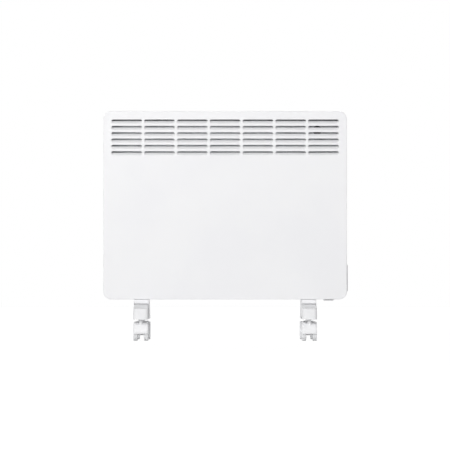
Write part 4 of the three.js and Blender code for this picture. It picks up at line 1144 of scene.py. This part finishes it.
room = {
    "camera": (-1.55, -7049.0, 144.0),
    "aim": (-1.55, -49.0, 275.6),
    "lens": 234.4,
    "lamps": {  # place, power and size
        "key": ((-2100, -7300, 3200), 366, 3800),
        "rear": ((300, 7600, 3400), 260, 3000),
    },
    "lampAim": (0, 0, 300),
    "fill": (0.58, 0.02),  # light of the surroundings at the horizon and overhead
    "floor": (0.96, 0.96, 0.96),
    "paper": 0.88,  # share of the floor's colour that the camera sees as plain light
    "glow": 1.07,
    "reach": 9000,
}


# turns what is set up in the room towards a point
def aimed(piece, place, target):
    piece.location = Vector(place) * mm
    piece.rotation_euler = (Vector(target) * mm - piece.location).to_track_quat("-Z", "Y").to_euler()
    return piece


def studioFloor():
    surface = Finish("pale floor")
    paper = surface.surface({"Base Color": colour(*room["floor"]), "Roughness": 0.9})
    shader = surface.tree.nodes["Principled BSDF"].outputs[0]
    seen = surface.add("LightPath", out="Is Camera Ray")
    glow = surface.add("Emission", sockets={"Color": (1, 1, 1, 1), "Strength": room["glow"]})
    mix = surface.add("MixShader", sockets={0: seen * room["paper"], 1: Wire(surface, shader), 2: glow})
    surface.tree.links.new(mix.plug, surface.tree.nodes["Material Output"].inputs[0])
    reach = room["reach"]
    corners = [(-reach, -reach, 0), (reach, -reach, 0), (reach, reach, 0), (-reach, reach, 0)]
    floor = pieceOf("floor", corners, [(0, 1, 2, 3)])
    floor.data.materials.append(paper)


def studioLight():
    world = bpy.data.worlds.new("studio")
    world.use_nodes = True
    scene.world = world
    sky = Recipe(world.node_tree)
    sky.tree.nodes.clear()
    seen = sky.add("LightPath", out="Is Camera Ray") + sky.add("LightPath", out="Is Glossy Ray")
    seen = seen + sky.add("LightPath", out="Is Transmission Ray")
    way = sky.add("TexCoord", out="Generated")
    height = sky.add("SeparateXYZ", sockets={"Vector": way}, out="Z")
    low, high = room["fill"]
    fill = sky.add("MapRange", sockets={0: height, 1: 0.0, 2: 1.0, 3: low, 4: high})
    dim = sky.add("Background", sockets={"Color": (1, 1, 1, 1), "Strength": fill})
    white = sky.add("Background", sockets={"Color": (1, 1, 1, 1), "Strength": 1.0})
    mix = sky.add("MixShader", sockets={0: seen.maths("MINIMUM", seen, 1.0), 1: dim, 2: white})
    sky.add("OutputWorld", sockets={"Surface": mix})
    for name, (place, power, size) in room["lamps"].items():
        light = bpy.data.lights.new(name, "AREA")
        light.energy, light.size = power, size * mm
        aimed(added(name, light), place, room["lampAim"]).visible_camera = False


def studioCamera():
    lens = bpy.data.cameras.new("camera")
    lens.lens, lens.sensor_width = room["lens"], 36
    lens.clip_end = 100
    scene.camera = aimed(added("camera", lens), room["camera"], room["aim"])


studioFloor()
studioLight()
studioCamera()
scene.view_settings.view_transform = "Standard"
print("studio set")
